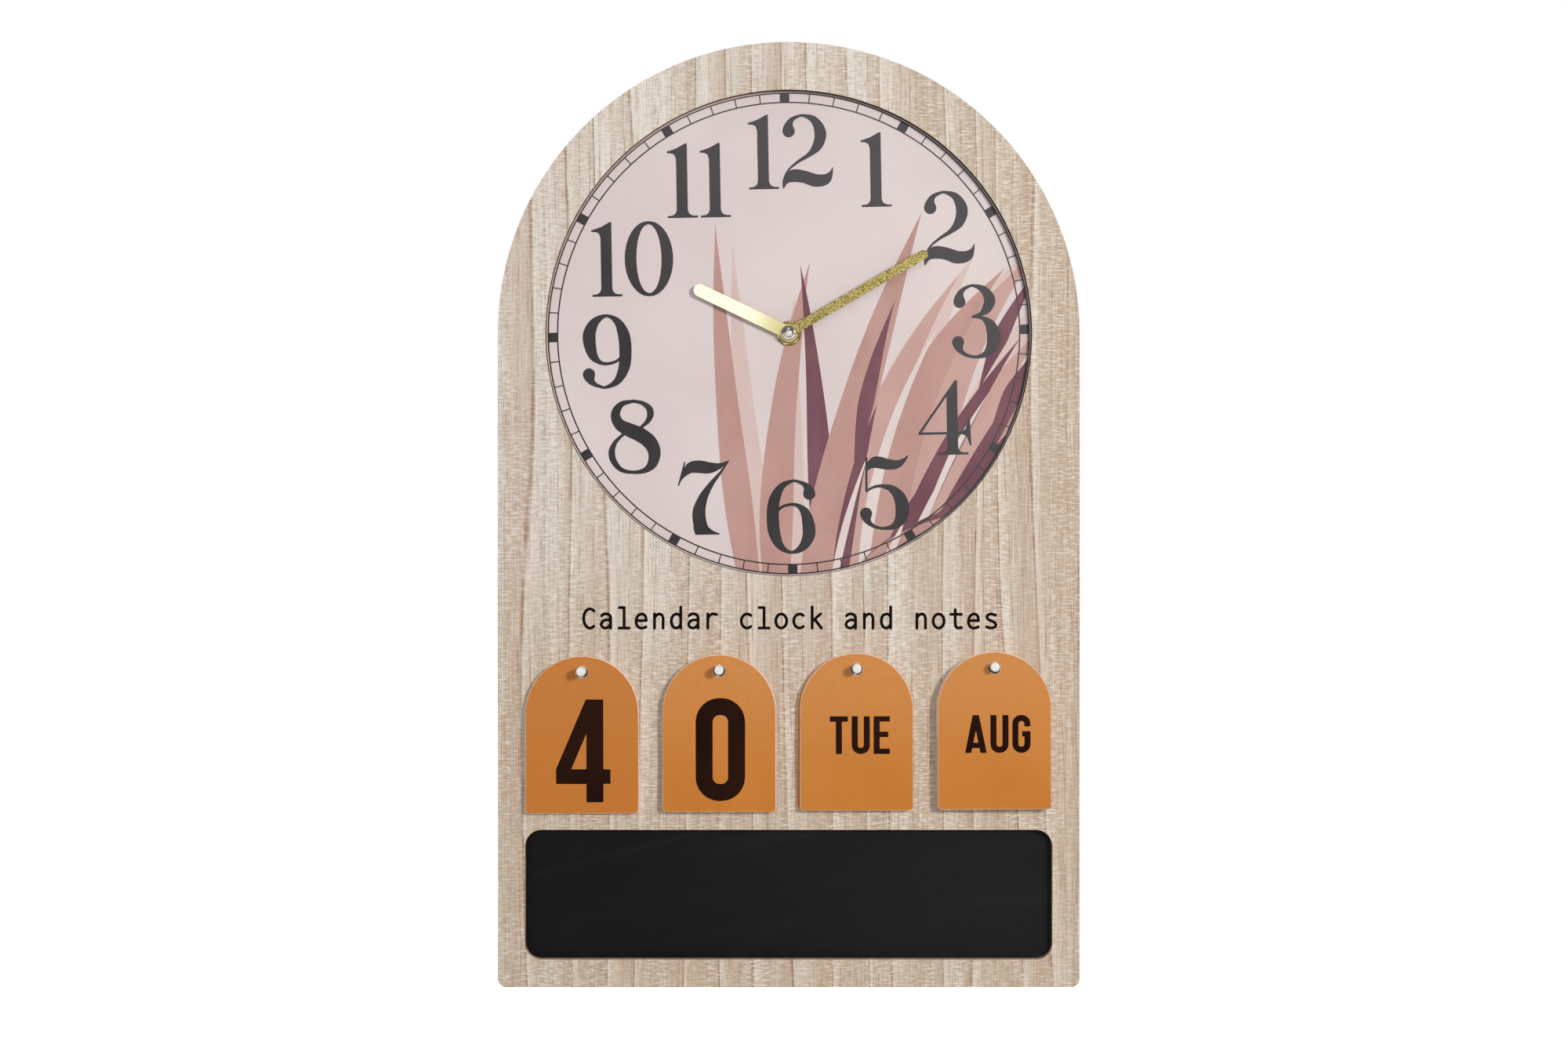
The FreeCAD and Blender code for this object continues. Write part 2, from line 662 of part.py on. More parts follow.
def hand(label, length, width, eye, bore, level, angle, collet):
    """A straight hand along local Y with a round tip and a pierced eye on a short collet."""
    straight = f"{length} - {width} / 2"
    blade = box(label + "_blade", (f"-{width} / 2", 0, 0), (f"{width} / 2", straight, "hand_thick"))
    tip = cylinder(label + "_tip", width, "hand_thick", (0, straight, 0))
    disc = cylinder(label + "_eye", eye, "hand_thick")
    sleeve = cylinder(label + "_collet", f"{bore} + 2 * collet_wall", f"{collet} + hand_thick",
                      (0, 0, f"-{collet}"))
    hole = cylinder(label + "_bore", bore, f"{collet} + 4 * hand_thick", (0, 0, f"-{collet} - hand_thick"))
    whole = fuse(label + "_solid", blade, tip, disc, sleeve)
    finish(cut(label, whole, hole), label, w=value(level), turn=-value(angle))


def make_hands():
    hand("hour_hand", "hour_length", "hour_width", "hour_eye", "hour_tube + press_fit",
         "hour_level", "hour_angle", "hour_collet")
    hand("minute_hand", "minute_length", "minute_width", "minute_eye", "pipe_tip + 2 * press_fit",
         "minute_level", "minute_angle", "0")


def make_cap_nut():
    """Domed nut with a thin rim, on the tip of the minute pipe."""
    rim, dome, bore = "capnut_rim / 2", "capnut_dome / 2", "pipe_tip / 2 + press_fit"
    axis = "0.0001"
    outside = [(bore, "0"), (rim, "0"), (rim, "capnut_flange"), (dome, "capnut_flange + 0.3"),
               (dome, "capnut_height - 1.8"), (f"0.85 * {dome}", "capnut_height - 0.9"),
               (f"0.5 * {dome}", "capnut_height - 0.25"), (axis, "capnut_height")]
    inside = [(axis, "capnut_depth"), (bore, "capnut_depth")]
    turned("cap_nut", outside + inside, w=value("minute_level + hand_thick"))


# --------------------------------------------------------------------------------------
# Toothed wheels
# --------------------------------------------------------------------------------------
WHEEL_TOOTH = 0.44      # tooth width on the pitch circle, as a share of the pitch
LEAF_TOOTH = 0.38       # the same for pinion leaves
WHEEL_TIP = 1.05        # heights above and below the pitch circle, in modules
WHEEL_ROOT = 0.85
LEAF_TIP = 0.5
LEAF_ROOT = 1.3
FLANK_STEPS = 12        # points along a rolled flank
LONG = 30               # half the length of a drill that goes right through a wheel
KNOB_NOTCHES = 18


def polar(radius, angle):
    return Vector(radius * math.cos(angle), radius * math.sin(angle), 0)


def rolled_flank(pitch_radius, roller, reach):
    """Points of an epicycloid from the pitch circle out to a given height: (radius, angle)."""
    ratio = (pitch_radius + roller) / roller
    track = []
    for step in range(FLANK_STEPS + 1):
        turn = step / FLANK_STEPS * 1.6 * roller / pitch_radius
        x = (pitch_radius + roller) * math.cos(turn) - roller * math.cos(ratio * turn)
        y = (pitch_radius + roller) * math.sin(turn) - roller * math.sin(ratio * turn)
        track.append((math.hypot(x, y), math.atan2(y, x)))
    return [point for point in track if point[0] <= pitch_radius + reach]


def wheel_tooth(teeth, module, mate):
    """Half a wheel tooth, from its centre line outwards: pitch, middle, tip and root points."""
    radius = teeth * module / 2
    half = WHEEL_TOOTH * math.pi / teeth
    flank = [(r, half - a) for r, a in rolled_flank(radius, mate * module / 4, WHEEL_TIP * module)]
    flank = [(r, a) for r, a in flank if a > 0.25 * half]
    return radius, half, flank[len(flank) // 2], flank[-1], radius - WHEEL_ROOT * module


def wheel_face(teeth, module, mate):
    """Wheel outline: radial dedendum, epicycloidal addendum, flat root, tooth on +X."""
    radius, half, middle, tip, root = wheel_tooth(teeth, module, mate)
    edges = []
    for tooth in range(teeth):
        centre = 2 * math.pi * tooth / teeth
        following = 2 * math.pi * (tooth + 1) / teeth
        low_foot, low_pitch = polar(root, centre - half), polar(radius, centre - half)
        high_pitch, high_foot = polar(radius, centre + half), polar(root, centre + half)
        low_tip, high_tip = polar(tip[0], centre - tip[1]), polar(tip[0], centre + tip[1])
        edges.append(Part.LineSegment(low_foot, low_pitch).toShape())
        edges.append(Part.Arc(low_pitch, polar(middle[0], centre - middle[1]), low_tip).toShape())
        edges.append(Part.Arc(low_tip, polar(tip[0] + 0.04 * module, centre), high_tip).toShape())
        edges.append(Part.Arc(high_tip, polar(middle[0], centre + middle[1]), high_pitch).toShape())
        edges.append(Part.LineSegment(high_pitch, high_foot).toShape())
        edges.append(Part.LineSegment(high_foot, polar(root, following - half)).toShape())
    return Part.Face(Part.Wire(edges))


def leaf_face(teeth, module):
    """Pinion outline: radial leaves with round tips, leaf on +X."""
    radius = teeth * module / 2
    half = LEAF_TOOTH * math.pi / teeth
    root = radius - LEAF_ROOT * module
    edges = []
    for leaf in range(teeth):
        centre = 2 * math.pi * leaf / teeth
        following = 2 * math.pi * (leaf + 1) / teeth
        low_foot, low_pitch = polar(root, centre - half), polar(radius, centre - half)
        high_pitch, high_foot = polar(radius, centre + half), polar(root, centre + half)
        edges.append(Part.LineSegment(low_foot, low_pitch).toShape())
        edges.append(Part.Arc(low_pitch, polar(radius + LEAF_TIP * module, centre), high_pitch).toShape())
        edges.append(Part.LineSegment(high_pitch, high_foot).toShape())
        edges.append(Part.LineSegment(high_foot, polar(root, following - half)).toShape())
    return Part.Face(Part.Wire(edges))


def prism_between(face, levels, turn):
    """Extrude a face between two levels, front and rear, and turn it about local Z in radians."""
    front, rear = levels
    solid = face.extrude(Vector(0, 0, front - rear))
    solid.translate(Vector(0, 0, rear))
    solid.rotate(Vector(0, 0, 0), NORMAL, math.degrees(turn))
    return solid


def rod(diameter, front, rear):
    return Part.makeCylinder(diameter / 2, front - rear, Vector(0, 0, rear))


def mesh_phase(phase, teeth, mate_teeth, direction):
    """Phase of the mate, so that it meshes with a wheel of the given phase.

    direction is the bearing from the wheel to its mate, all angles in radians.
    """
    return direction + math.pi + (math.pi - (phase - direction) * teeth) / mate_teeth


def towards(start, end):
    return math.atan2(end[1] - start[1], end[0] - start[0])


def wheel_part(label, centre, solids, bore=None):
    """A moulded wheel: its solids fused into one, bored if it runs on a tube."""
    shape = solids[0].multiFuse(solids[1:]) if len(solids) > 1 else solids[0]
    if bore:
        shape = shape.cut(bore)
    shape = shape.removeSplitter()
    item = doc.addObject("Part::Feature", label)
    item.Shape = shape.Solids[0] if len(shape.Solids) == 1 else shape
    finish(item, label, *centre)


def pivoted_arbor(front, rear, inner_front, inner_rear):
    """An arbor with a thinner pivot at each end."""
    return [rod(value("arbor_dia"), inner_front, inner_rear), rod(value("pivot_dia"), front, rear)]


def make_motion_work():
    """Minute pipe, motion wheel, hour wheel and setting knob: 12 to 1 from minute to hour."""
    play = value("hole_play")
    minute_module = value("2 * motion_distance / (12 + 36)")
    hour_module = value("2 * motion_distance / (10 + 40)")

    minute_phase = 0.0
    motion_phase = mesh_phase(minute_phase, 12, 36, towards(AXIS, MOTION))
    pinion_phase = 0.0
    hour_phase = mesh_phase(pinion_phase, 10, 40, towards(MOTION, AXIS))
    knob_phase = mesh_phase(motion_phase, 36, 12, towards(MOTION, KNOB))

    tip = value("minute_level + hand_thick + tip_reach")
    hub = value("pipe_hub")
    pivot, seat = value("pivot_dia"), -value("pivot_seat")
    bore = rod(value("pipe_bore"), tip + 1, CENTRE_WHEEL[1] - 1)
    wheel_part("minute_pipe", AXIS, [
        rod(value("pipe_dia"), value("minute_level"), MINUTE_PINION[1]),
        rod(value("pipe_tip"), tip, MINUTE_PINION[1]),
        prism_between(leaf_face(12, minute_module), MINUTE_PINION, minute_phase),
        rod(hub, MINUTE_PINION[1], CENTRE_WHEEL[1]),
    ], bore)

    wheel_part("motion_wheel", MOTION, [
        prism_between(wheel_face(36, minute_module, 12), MOTION_WHEEL, motion_phase),
        prism_between(leaf_face(10, hour_module), MOTION_PINION, pinion_phase),
        rod(pivot, seat, MIDDLE_PLATE[1] + 0.2),
    ])

    wheel_part("hour_wheel", AXIS, [
        prism_between(wheel_face(40, hour_module, 10), HOUR_WHEEL, hour_phase),
        rod(value("hour_tube"), value("hour_level + hand_thick + tube_reach"), HOUR_WHEEL[1]),
    ], rod(value("hour_bore"), LONG, -LONG))

    grip_front = value("-case_depth - knob_gap")
    knob_rear = grip_front - value("knob_grip")
    grip = rod(value("knob_dia"), grip_front, knob_rear)
    notches = [rod(value("notch_dia"), grip_front + 1, knob_rear - 1) for index in range(KNOB_NOTCHES)]
    for index, notch in enumerate(notches):
        notch.translate(polar(value("knob_dia / 2 + notch_dia / 6"), 2 * math.pi * index / KNOB_NOTCHES))
    wheel_part("setting_knob", KNOB, [
        grip.cut(notches),
        rod(value("knob_shaft"), MINUTE_PINION[0], (grip_front + knob_rear) / 2),
        prism_between(leaf_face(12, minute_module), MINUTE_PINION, knob_phase),
        rod(pivot, seat, MINUTE_PINION[0] - 0.1),
    ])


def make_going_train():
    """Rotor, fifth, seconds, third and centre wheel: 30 to 1 and 60 to 1."""
    fine = value("fine_module")
    slow = value("2 * centre_distance / (8 + 64)")
    pivots = (MIDDLE_PLATE[1] + 0.6, BRIDGE[0] - 0.6)
    inner = (MIDDLE_PLATE[1] - 0.1, BRIDGE[0] + 0.1)

    seconds_phase = 0.0
    leaf_phase = 0.0
    third_phase = mesh_phase(leaf_phase, 8, 60, towards(AXIS, THIRD))
    centre_phase = mesh_phase(leaf_phase, 8, 64, towards(THIRD, AXIS))
    fifth_leaf_phase = mesh_phase(seconds_phase, 60, 10, towards(AXIS, FIFTH))
    rotor_phase = mesh_phase(0.0, 60, 12, towards(FIFTH, ROTOR))

    wheel_part("centre_wheel", AXIS, [
        prism_between(wheel_face(64, slow, 8), CENTRE_WHEEL, centre_phase),
    ], rod(value("pipe_hub + 2 * hole_play"), LONG, -LONG))

    wheel_part("third_wheel", THIRD, [
        prism_between(wheel_face(60, fine, 8), THIRD_WHEEL, third_phase),
        prism_between(leaf_face(8, slow), THIRD_PINION, leaf_phase),
        *pivoted_arbor(*pivots, *inner),
    ])

    wheel_part("seconds_wheel", AXIS, [
        prism_between(wheel_face(60, fine, 10), SECONDS_WHEEL, seconds_phase),
        prism_between(leaf_face(8, fine), SECONDS_PINION, leaf_phase),
        rod(value("arbor_dia"), value("minute_level"), inner[1]),
        rod(value("pivot_dia"), inner[1], pivots[1]),
    ])

    wheel_part("fifth_wheel", FIFTH, [
        prism_between(wheel_face(60, fine, 12), FIFTH_WHEEL, 0.0),
        prism_between(leaf_face(10, fine), FIFTH_PINION, fifth_leaf_phase),
        *pivoted_arbor(*pivots, *inner),
    ])

    wheel_part("rotor_pinion", ROTOR, [
        prism_between(leaf_face(12, fine), ROTOR_PINION, rotor_phase),
        *pivoted_arbor(*pivots, *inner),
    ])

    magnet = cylinder("magnet_disc", "magnet_dia", MAGNET[0] - MAGNET[1])
    hole = cylinder("magnet_hole", "arbor_dia + press_fit", MAGNET[0] - MAGNET[1] + 2, (0, 0, -1))
    finish(cut("rotor_magnet", magnet, hole), "rotor_magnet", *ROTOR, MAGNET[1])


# --------------------------------------------------------------------------------------
# Movement case and plates
# --------------------------------------------------------------------------------------
def rounded_block(name, side, corner, depth):
    """A square block with rounded edges along Z, reaching back from local zero."""
    block = box(name + "_block", (f"-{side} / 2", f"-{side} / 2", f"-({depth})"),
                (f"{side} / 2", f"{side} / 2", 0))
    doc.recompute()
    soft = value(corner)
    upright = [number for number, edge in enumerate(block.Shape.Edges, start=1)
               if edge.BoundBox.ZLength > 1e-3]
    rounded = doc.addObject("Part::Fillet", name + "_rounded")
    rounded.Base = block
    rounded.Edges = [(number, soft, soft) for number in upright]
    return rounded


def make_case():
    """Front half of the movement case: wheel room, battery bay and the threaded bushing."""
    inner = "case_side / 2 - case_wall"
    block = rounded_block("case", "case_side", "case_corner", "case_depth")
    bushing = cylinder("case_bushing", "bush_dia", "bush_length")
    doc.recompute()
    chamfered = doc.addObject("Part::Chamfer", "case_bushing_end")
    chamfered.Base = bushing
    chamfer = value("bush_chamfer")
    chamfered.Edges = [(1 + top_rim(bushing.Shape), chamfer, chamfer)]

    wheel_room = box("case_wheel_room", (f"-({inner})", "bay_top + rib_thick", "-case_depth - 1"),
                     (inner, inner, "-case_front"))
    cover_seat = box("case_cover_seat",
                     ("-case_side / 2 - 1", "bay_top + rib_thick / 2", "-case_depth - 1"),
                     ("case_side / 2 + 1", "case_side / 2 + 1", "cover_thick - case_depth"))
    bay = box("case_bay", (f"-({inner})", f"-({inner})", "-case_depth - 1"),
              (inner, "bay_top", "-bay_floor"))
    tools = [wheel_room, cover_seat, bay,
             cylinder("case_bush_bore", "bush_bore", "bush_length + 4", (0, 0, "-3"))]
    for number, (x, y) in enumerate((MOTION, KNOB), start=1):
        tools.append(cylinder(f"case_pivot_{number}", "pivot_dia + 2 * hole_play", "case_front + 0.5",
                              (x, y, "-case_front - 1.2")))
    shell = cut("case_shell", fuse("case_solid", block, chamfered), *tools)
    finish(fuse("movement_case", shell, *case_posts()), "movement_case")


def case_posts():
    """Stepped posts that carry the middle plate and the bridge, and one for the stator."""
    steps = [("post_foot", MIDDLE_PLATE[0]), ("post_waist", BRIDGE[0]), ("post_tip", BRIDGE[1] + 0.1)]
    posts = []
    for number, (x, y) in enumerate(POSTS, start=1):
        for diameter, rear in steps:
            posts.append(cylinder(f"case_{diameter}_{number}", diameter, f"-1 - ({rear})", (x, y, rear)))
    posts.append(cylinder("case_stator_post", "post_waist", -1 - STATOR_FRONT,
                          (*STATOR_POST, STATOR_FRONT)))
    return posts


def plate(label, levels, holes, extra=()):
    """A moulded plate that fills the wheel room except for the coil's corner."""
    front, rear = levels
    inner = "case_side / 2 - case_wall - 0.1"
    low = "bay_top + rib_thick + 0.1"
    corner_x, corner_y = "coil_start - 2.5", "coil_z - 5.2"
    main = box(label + "_main", (f"-({inner})", low, rear), (inner, corner_y, front))
    arm = box(label + "_arm", (f"-({inner})", low, rear), (corner_x, inner, front))
    tools = []
    for number, ((x, y), diameter) in enumerate(holes, start=1):
        tools.append(cylinder(f"{label}_hole_{number}", diameter, front - rear + 2, (x, y, rear - 1)))
    finish(cut(label, fuse(label + "_solid", main, arm, *extra), *tools), label)


def make_plates():
    pivot = "pivot_dia + 2 * hole_play"
    shaft = "knob_shaft + 4 * hole_play"
    x, y = ROTOR
    feet = [cylinder(f"stator_foot_{number}", "post_waist", MIDDLE_PLATE[1] - STATOR_FRONT,
                     (f"{x} - foot_side", f"{y} + ({side}) * foot_side", STATOR_FRONT))
            for number, side in enumerate((-1, 1), start=1)]
    plate("middle_plate", MIDDLE_PLATE,
          [(AXIS, "pipe_hub + 4 * hole_play"), (THIRD, pivot), (FIFTH, pivot), (ROTOR, pivot),
           (MOTION, pivot), (KNOB, shaft)] + [(post, "post_waist + 0.1") for post in POSTS], feet)
    plate("train_bridge", BRIDGE,
          [(AXIS, pivot), (THIRD, pivot), (FIFTH, pivot), (ROTOR, pivot), (KNOB, shaft)]
          + [(post, "post_tip + 0.1") for post in POSTS])

    # The cover lies on the walls of the wheel room, flush with the back of the case.
    block = rounded_block("cover", "case_side", "case_corner", "cover_thick")
    below = box("cover_below", ("-case_side", "-case_side", "-cover_thick - 1"),
                ("case_side", "bay_top + rib_thick / 2 + 0.1", 1))
    knob_hole = cylinder("cover_knob_hole", shaft, 4, (KNOB[0], KNOB[1], "-cover_thick - 1"))
    finish(cut("rear_cover", block, below, knob_hole), "rear_cover",
           w=value("cover_thick - case_depth"))


def make_motor():
    """Stator, coil and bobbin of the stepping motor."""
    x, y = ROTOR
    rear = f"{STATOR_FRONT} - stator_thick"
    core_rear = f"{STATOR_FRONT} - 2 * stator_thick"
    core_low, core_high = "coil_z - core_half", "coil_z + core_half"
    blocks = [
        box("stator_yoke", (f"{x} - yoke_half", f"{y} - yoke_half", rear),
            (f"{x} + yoke_half", f"{y} + yoke_half", STATOR_FRONT)),
        box("stator_leg", (f"{x} + yoke_half - 0.5", "coil_z - 5", rear),
            ("stator_end", "coil_z - 3.8", STATOR_FRONT)),
        box("stator_post", ("stator_end - 2.2", "coil_z - 5", rear),
            ("stator_end", core_high, STATOR_FRONT)),
        box("stator_arm", (f"{x} - yoke_half", f"{core_low} - 0.3", rear),
            ("coil_start - 0.2", f"{core_high} + 0.3", STATOR_FRONT)),
        box("stator_core", ("coil_start - 3", core_low, core_rear), ("stator_end", core_high, rear)),
    ]
    hole = cylinder("stator_bore", "stator_hole", "stator_thick + 2", (x, y, f"{rear} - 1"))
    finish(cut("stator", fuse("stator_solid", *blocks), hole), "stator")

    axis_w = f"{STATOR_FRONT} - 1.5 * stator_thick"
    length = "coil_stop - coil_start"
    barrel = cylinder_x("bobbin_barrel", "barrel_dia", length, ("coil_start", "coil_z", axis_w))
    left = cylinder_x("bobbin_left", "bobbin_dia", "flange_thick", ("coil_start", "coil_z", axis_w))
    right = cylinder_x("bobbin_right", "bobbin_dia", "flange_thick",
                       ("coil_stop - flange_thick", "coil_z", axis_w))
    slot = box("bobbin_slot", ("coil_start - 2", f"{core_low} - slot_play", f"{core_rear} - slot_play"),
               ("coil_stop + 2", f"{core_high} + slot_play", f"{rear} + slot_play"))
    finish(cut("coil_bobbin", fuse("bobbin_solid", barrel, left, right), slot), "coil_bobbin")

    wound = cylinder_x("winding_outer", "coil_dia", f"{length} - 2 * flange_thick - 2 * coil_play",
                       ("coil_start + flange_thick + coil_play", "coil_z", axis_w))
    core = cylinder_x("winding_inner", "barrel_dia + coil_play", f"{length} + 4",
                      ("coil_start - 2", "coil_z", axis_w))
    finish(cut("coil_winding", wound, core), "coil_winding")


CIRCUIT_LOW, CIRCUIT_HIGH = (-24, -8), (-4, 6)      # corners of the circuit board
CHIP = (-10, -1)                                    # middle of the chip
RESIN = (1.1, 3.0, 3.0)                             # half height, half width, half length of its resin
CRYSTAL = (-22, -4.5)                               # left end of the crystal's can


def make_electronics():
    """Circuit board with its chip under a drop of resin, and the crystal lying on it."""
    front = CIRCUIT_FRONT
    rear = front - value("circuit_thick")
    board = box("board_plate", (*CIRCUIT_LOW, rear), (*CIRCUIT_HIGH, front))
    resin = doc.addObject("Part::Ellipsoid", "board_resin")
    resin.Radius1, resin.Radius2, resin.Radius3 = RESIN
    resin.Placement = Placement(Vector(*CHIP, rear), Rotation())
    joined = fuse("board_joined", board, resin)
    limit = box("board_limit", (*CIRCUIT_LOW, rear - 2 * RESIN[0]), (*CIRCUIT_HIGH, front))
    chip = doc.addObject("Part::Common", "circuit_board")
    chip.Base, chip.Tool = joined, limit
    finish(chip, "circuit_board")

    lying = (*CRYSTAL, f"{rear} - crystal_dia / 2 - 0.05")
    can = cylinder_x("crystal_can", "crystal_dia", "crystal_length", lying)
    base = cylinder_x("crystal_base", "crystal_dia - 0.2", "crystal_length + 0.4", lying)
    finish(fuse("quartz_crystal", can, base), "quartz_crystal")


def make_contacts():
    """Positive contact with a folded solder tag, and a bent leaf as the negative contact."""
    inner = "case_side / 2 - case_wall - contact_gap"
    sheet_left = f"{inner} - contact_thick"
    flat = box("contact_plate", (sheet_left, "cell_z - contact_half", "contact_rear"),
               (inner, "cell_z + contact_half", "contact_rear + contact_depth"))
    tag = box("contact_tag", (sheet_left, "cell_z + contact_half - 2.5", "contact_rear - 1.5"),
              (inner, "cell_z + contact_half", "contact_rear + 1"))
    finish(fuse("contact_positive", flat, tag), "contact_positive")

    body = new_body("contact_negative")
    sketch = new_sketch(body, "contact_leaf", "XY_Plane")
    wall = f"-({inner})"
    foot, crest = f"{wall} + spring_thick", f"{wall} + spring_reach"
    low, high = "cell_z - spring_half", "cell_z + spring_half"
    polygon(sketch, [
        (wall, low), (foot, low), (foot, "cell_z - 3.6"), (crest, "cell_z - 1"), (crest, "cell_z + 1"),
        (foot, "cell_z + 3.6"), (foot, high), (wall, high), (wall, "cell_z + 3.4"),
        (f"{crest} - spring_thick", "cell_z + 0.9"), (f"{crest} - spring_thick", "cell_z - 0.9"),
        (wall, "cell_z - 3.4"),
    ])
    pad(body, sketch, "contact_depth")
    finish(body, "contact_negative", w=value("contact_rear"))


def make_battery():
    """AA cell lying along X, positive end to the right."""
    start = "case_side / 2 - case_wall - 0.5 - nub_length - cell_length"
    at = (start, "cell_z", "-bay_floor - 0.1 - cell_dia / 2")
    can = cylinder_x("cell_can", "cell_dia", "cell_length", at)
    nub = cylinder_x("cell_nub", "nub_dia", "cell_length + nub_length", at)
    finish(fuse("battery", can, nub), "battery")


# --------------------------------------------------------------------------------------
# Build, check and write
# --------------------------------------------------------------------------------------
def check(items):
    """Stop if any object failed to compute or any sub-part has an empty or invalid shape."""
    for item in doc.Objects:
        if {"Invalid", "Error"} & set(item.State):
            raise RuntimeError(f"{item.Name} is {item.State}")
    for item in items:
        if item.Shape.isNull() or not item.Shape.isValid() or not item.Shape.Solids:
            raise RuntimeError(f"{item.Label} has no valid solid")


make_board()
make_pegs()
make_cards()
make_hanger()
ring("rubber_washer", "rubber_dia", "bush_hole", "rubber_thick", RUBBER_W)
ring("brass_washer", "washer_dia", "bush_hole", "washer_thick", WASHER_W)
make_nut()
make_bumpers()
make_hands()
make_cap_nut()
make_case()
make_plates()
make_motion_work()
make_going_train()
make_motor()
make_electronics()
make_contacts()
make_battery()
doc.recompute()
check(PARTS)

os.makedirs("parts", exist_ok=True)
for item in PARTS:
    item.Shape.exportStep(f"parts/{item.Label}.step")
    print(f"{item.Label:20s} {len(item.Shape.Solids)} solid(s) {item.Shape.Volume:12.2f} mm3")
print(len(PARTS), "sub-parts")
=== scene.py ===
"""Looks of an arch-topped wooden wall clock with hang-on calendar cards.

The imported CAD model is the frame. This script gives its nodes their materials and adds what is
printed: the dial, the lettering on the board, both faces of every card and the marks on the back of
the movement. +Z is up and the dial faces -Y. Blender works in metres, and the print's sizes are given
in millimetres.
"""
import math

import bpy
import numpy as np
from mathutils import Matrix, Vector
from mathutils.geometry import tessellate_polygon


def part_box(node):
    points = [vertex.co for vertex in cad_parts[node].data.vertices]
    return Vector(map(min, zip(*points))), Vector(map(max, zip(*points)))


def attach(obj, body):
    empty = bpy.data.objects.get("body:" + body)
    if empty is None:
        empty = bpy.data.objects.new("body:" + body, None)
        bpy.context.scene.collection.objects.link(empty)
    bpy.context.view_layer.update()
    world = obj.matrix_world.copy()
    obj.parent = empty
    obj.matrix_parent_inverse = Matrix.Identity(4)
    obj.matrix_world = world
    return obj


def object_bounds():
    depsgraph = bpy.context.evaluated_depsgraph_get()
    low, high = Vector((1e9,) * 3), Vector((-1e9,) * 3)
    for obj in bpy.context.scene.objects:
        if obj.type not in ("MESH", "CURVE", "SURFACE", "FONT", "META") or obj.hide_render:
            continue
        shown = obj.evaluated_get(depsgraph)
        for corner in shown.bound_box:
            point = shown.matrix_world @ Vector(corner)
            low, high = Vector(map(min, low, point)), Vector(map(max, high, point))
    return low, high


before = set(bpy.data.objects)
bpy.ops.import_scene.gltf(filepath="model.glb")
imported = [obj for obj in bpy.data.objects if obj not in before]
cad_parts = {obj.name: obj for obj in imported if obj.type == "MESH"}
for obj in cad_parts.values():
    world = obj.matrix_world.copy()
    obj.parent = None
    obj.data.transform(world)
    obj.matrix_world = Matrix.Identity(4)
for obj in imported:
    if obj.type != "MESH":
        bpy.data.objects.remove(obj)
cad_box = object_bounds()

MM = 0.001


# ---- Places taken from the frame ----
def span(node):
    """Lowest and highest corner of a node, in millimetres."""
    low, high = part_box(node)
    return Vector(low) / MM, Vector(high) / MM


def middle(node):
    """Centre of a node's box, in millimetres."""
    low, high = span(node)
    return (low + high) / 2


AXIS_X, AXIS_Z = middle("brass_washer").x, middle("brass_washer").z
DIAL_FACE = span("dial")[0].y
BOARD_FACE = span("wood_veneer")[0].y


# ---- Shapes as distance fields: negative inside, positive outside ----
def smooth(points, steps=10, closed=False):
    """Catmull-Rom curve through points that carry (x, y) or (x, y, width)."""
    knots = np.array(points, float)
    if closed:
        knots = np.vstack([knots[-1:], knots, knots[:2]])
    else:
        knots = np.vstack([2 * knots[0] - knots[1], knots, 2 * knots[-1] - knots[-2]])
    curve = []
    for p0, p1, p2, p3 in zip(knots[:-3], knots[1:-2], knots[2:-1], knots[3:]):
        for t in np.arange(steps) / steps:
            curve.append(0.5 * (2 * p1 + (p2 - p0) * t + (2 * p0 - 5 * p1 + 4 * p2 - p3) * t**2
                                + (3 * p1 - p0 - 3 * p2 + p3) * t**3))
    curve.append(knots[-2])
    return np.array(curve)


def rounded(corners, radius, closed=False, steps=6):
    """A polyline whose inner corners are arcs of this radius."""
    count = len(corners)
    path = []
    for index, corner in enumerate(corners):
        here = np.array(corner, float)
        if not closed and index in (0, count - 1):
            path.append(here)
            continue
        back = np.array(corners[index - 1], float) - here
        ahead = np.array(corners[(index + 1) % count], float) - here
        back, ahead = back / np.hypot(*back), ahead / np.hypot(*ahead)
        half = math.acos(max(-1, min(1, float(back @ ahead)))) / 2
        reach = radius / math.tan(half)
        centre = here + (back + ahead) / np.hypot(*(back + ahead)) * radius / math.sin(half)
        start, end = here + back * reach - centre, here + ahead * reach - centre
        turn = math.atan2(start[0] * end[1] - start[1] * end[0], float(start @ end))
        for step in range(steps + 1):
            angle = turn * step / steps
            cos, sin = math.cos(angle), math.sin(angle)
            path.append(centre + (start[0] * cos - start[1] * sin, start[0] * sin + start[1] * cos))
    if closed:
        path.append(path[0])
    return np.array(path)


def brush(path, width=None, square_ends=False):
    """A stroke along a path; its width is constant, or the path's third value."""
    path = np.asarray(path, float)
    widths = path[:, 2] if width is None else np.full(len(path), float(width))

    def distance(X, Y):
        nearest = np.full(X.shape, 9.0)
        last = len(path) - 2
        for index in range(last + 1):
            (x0, y0), (x1, y1) = path[index, :2], path[index + 1, :2]
            dx, dy = x1 - x0, y1 - y0
            length = math.hypot(dx, dy) + 1e-9
            along = ((X - x0) * dx + (Y - y0) * dy) / length
            across = np.abs((X - x0) * dy - (Y - y0) * dx) / length
            share = np.clip(along / length, 0, 1)
            half = (widths[index] + share * (widths[index + 1] - widths[index])) / 2
            gap = np.hypot(across, along - share * length) - half
            if square_ends and index == 0:
                gap = np.maximum(gap, -along)
            if square_ends and index == last:
                gap = np.maximum(gap, along - length)
            nearest = np.minimum(nearest, gap)
        return nearest
    return distance


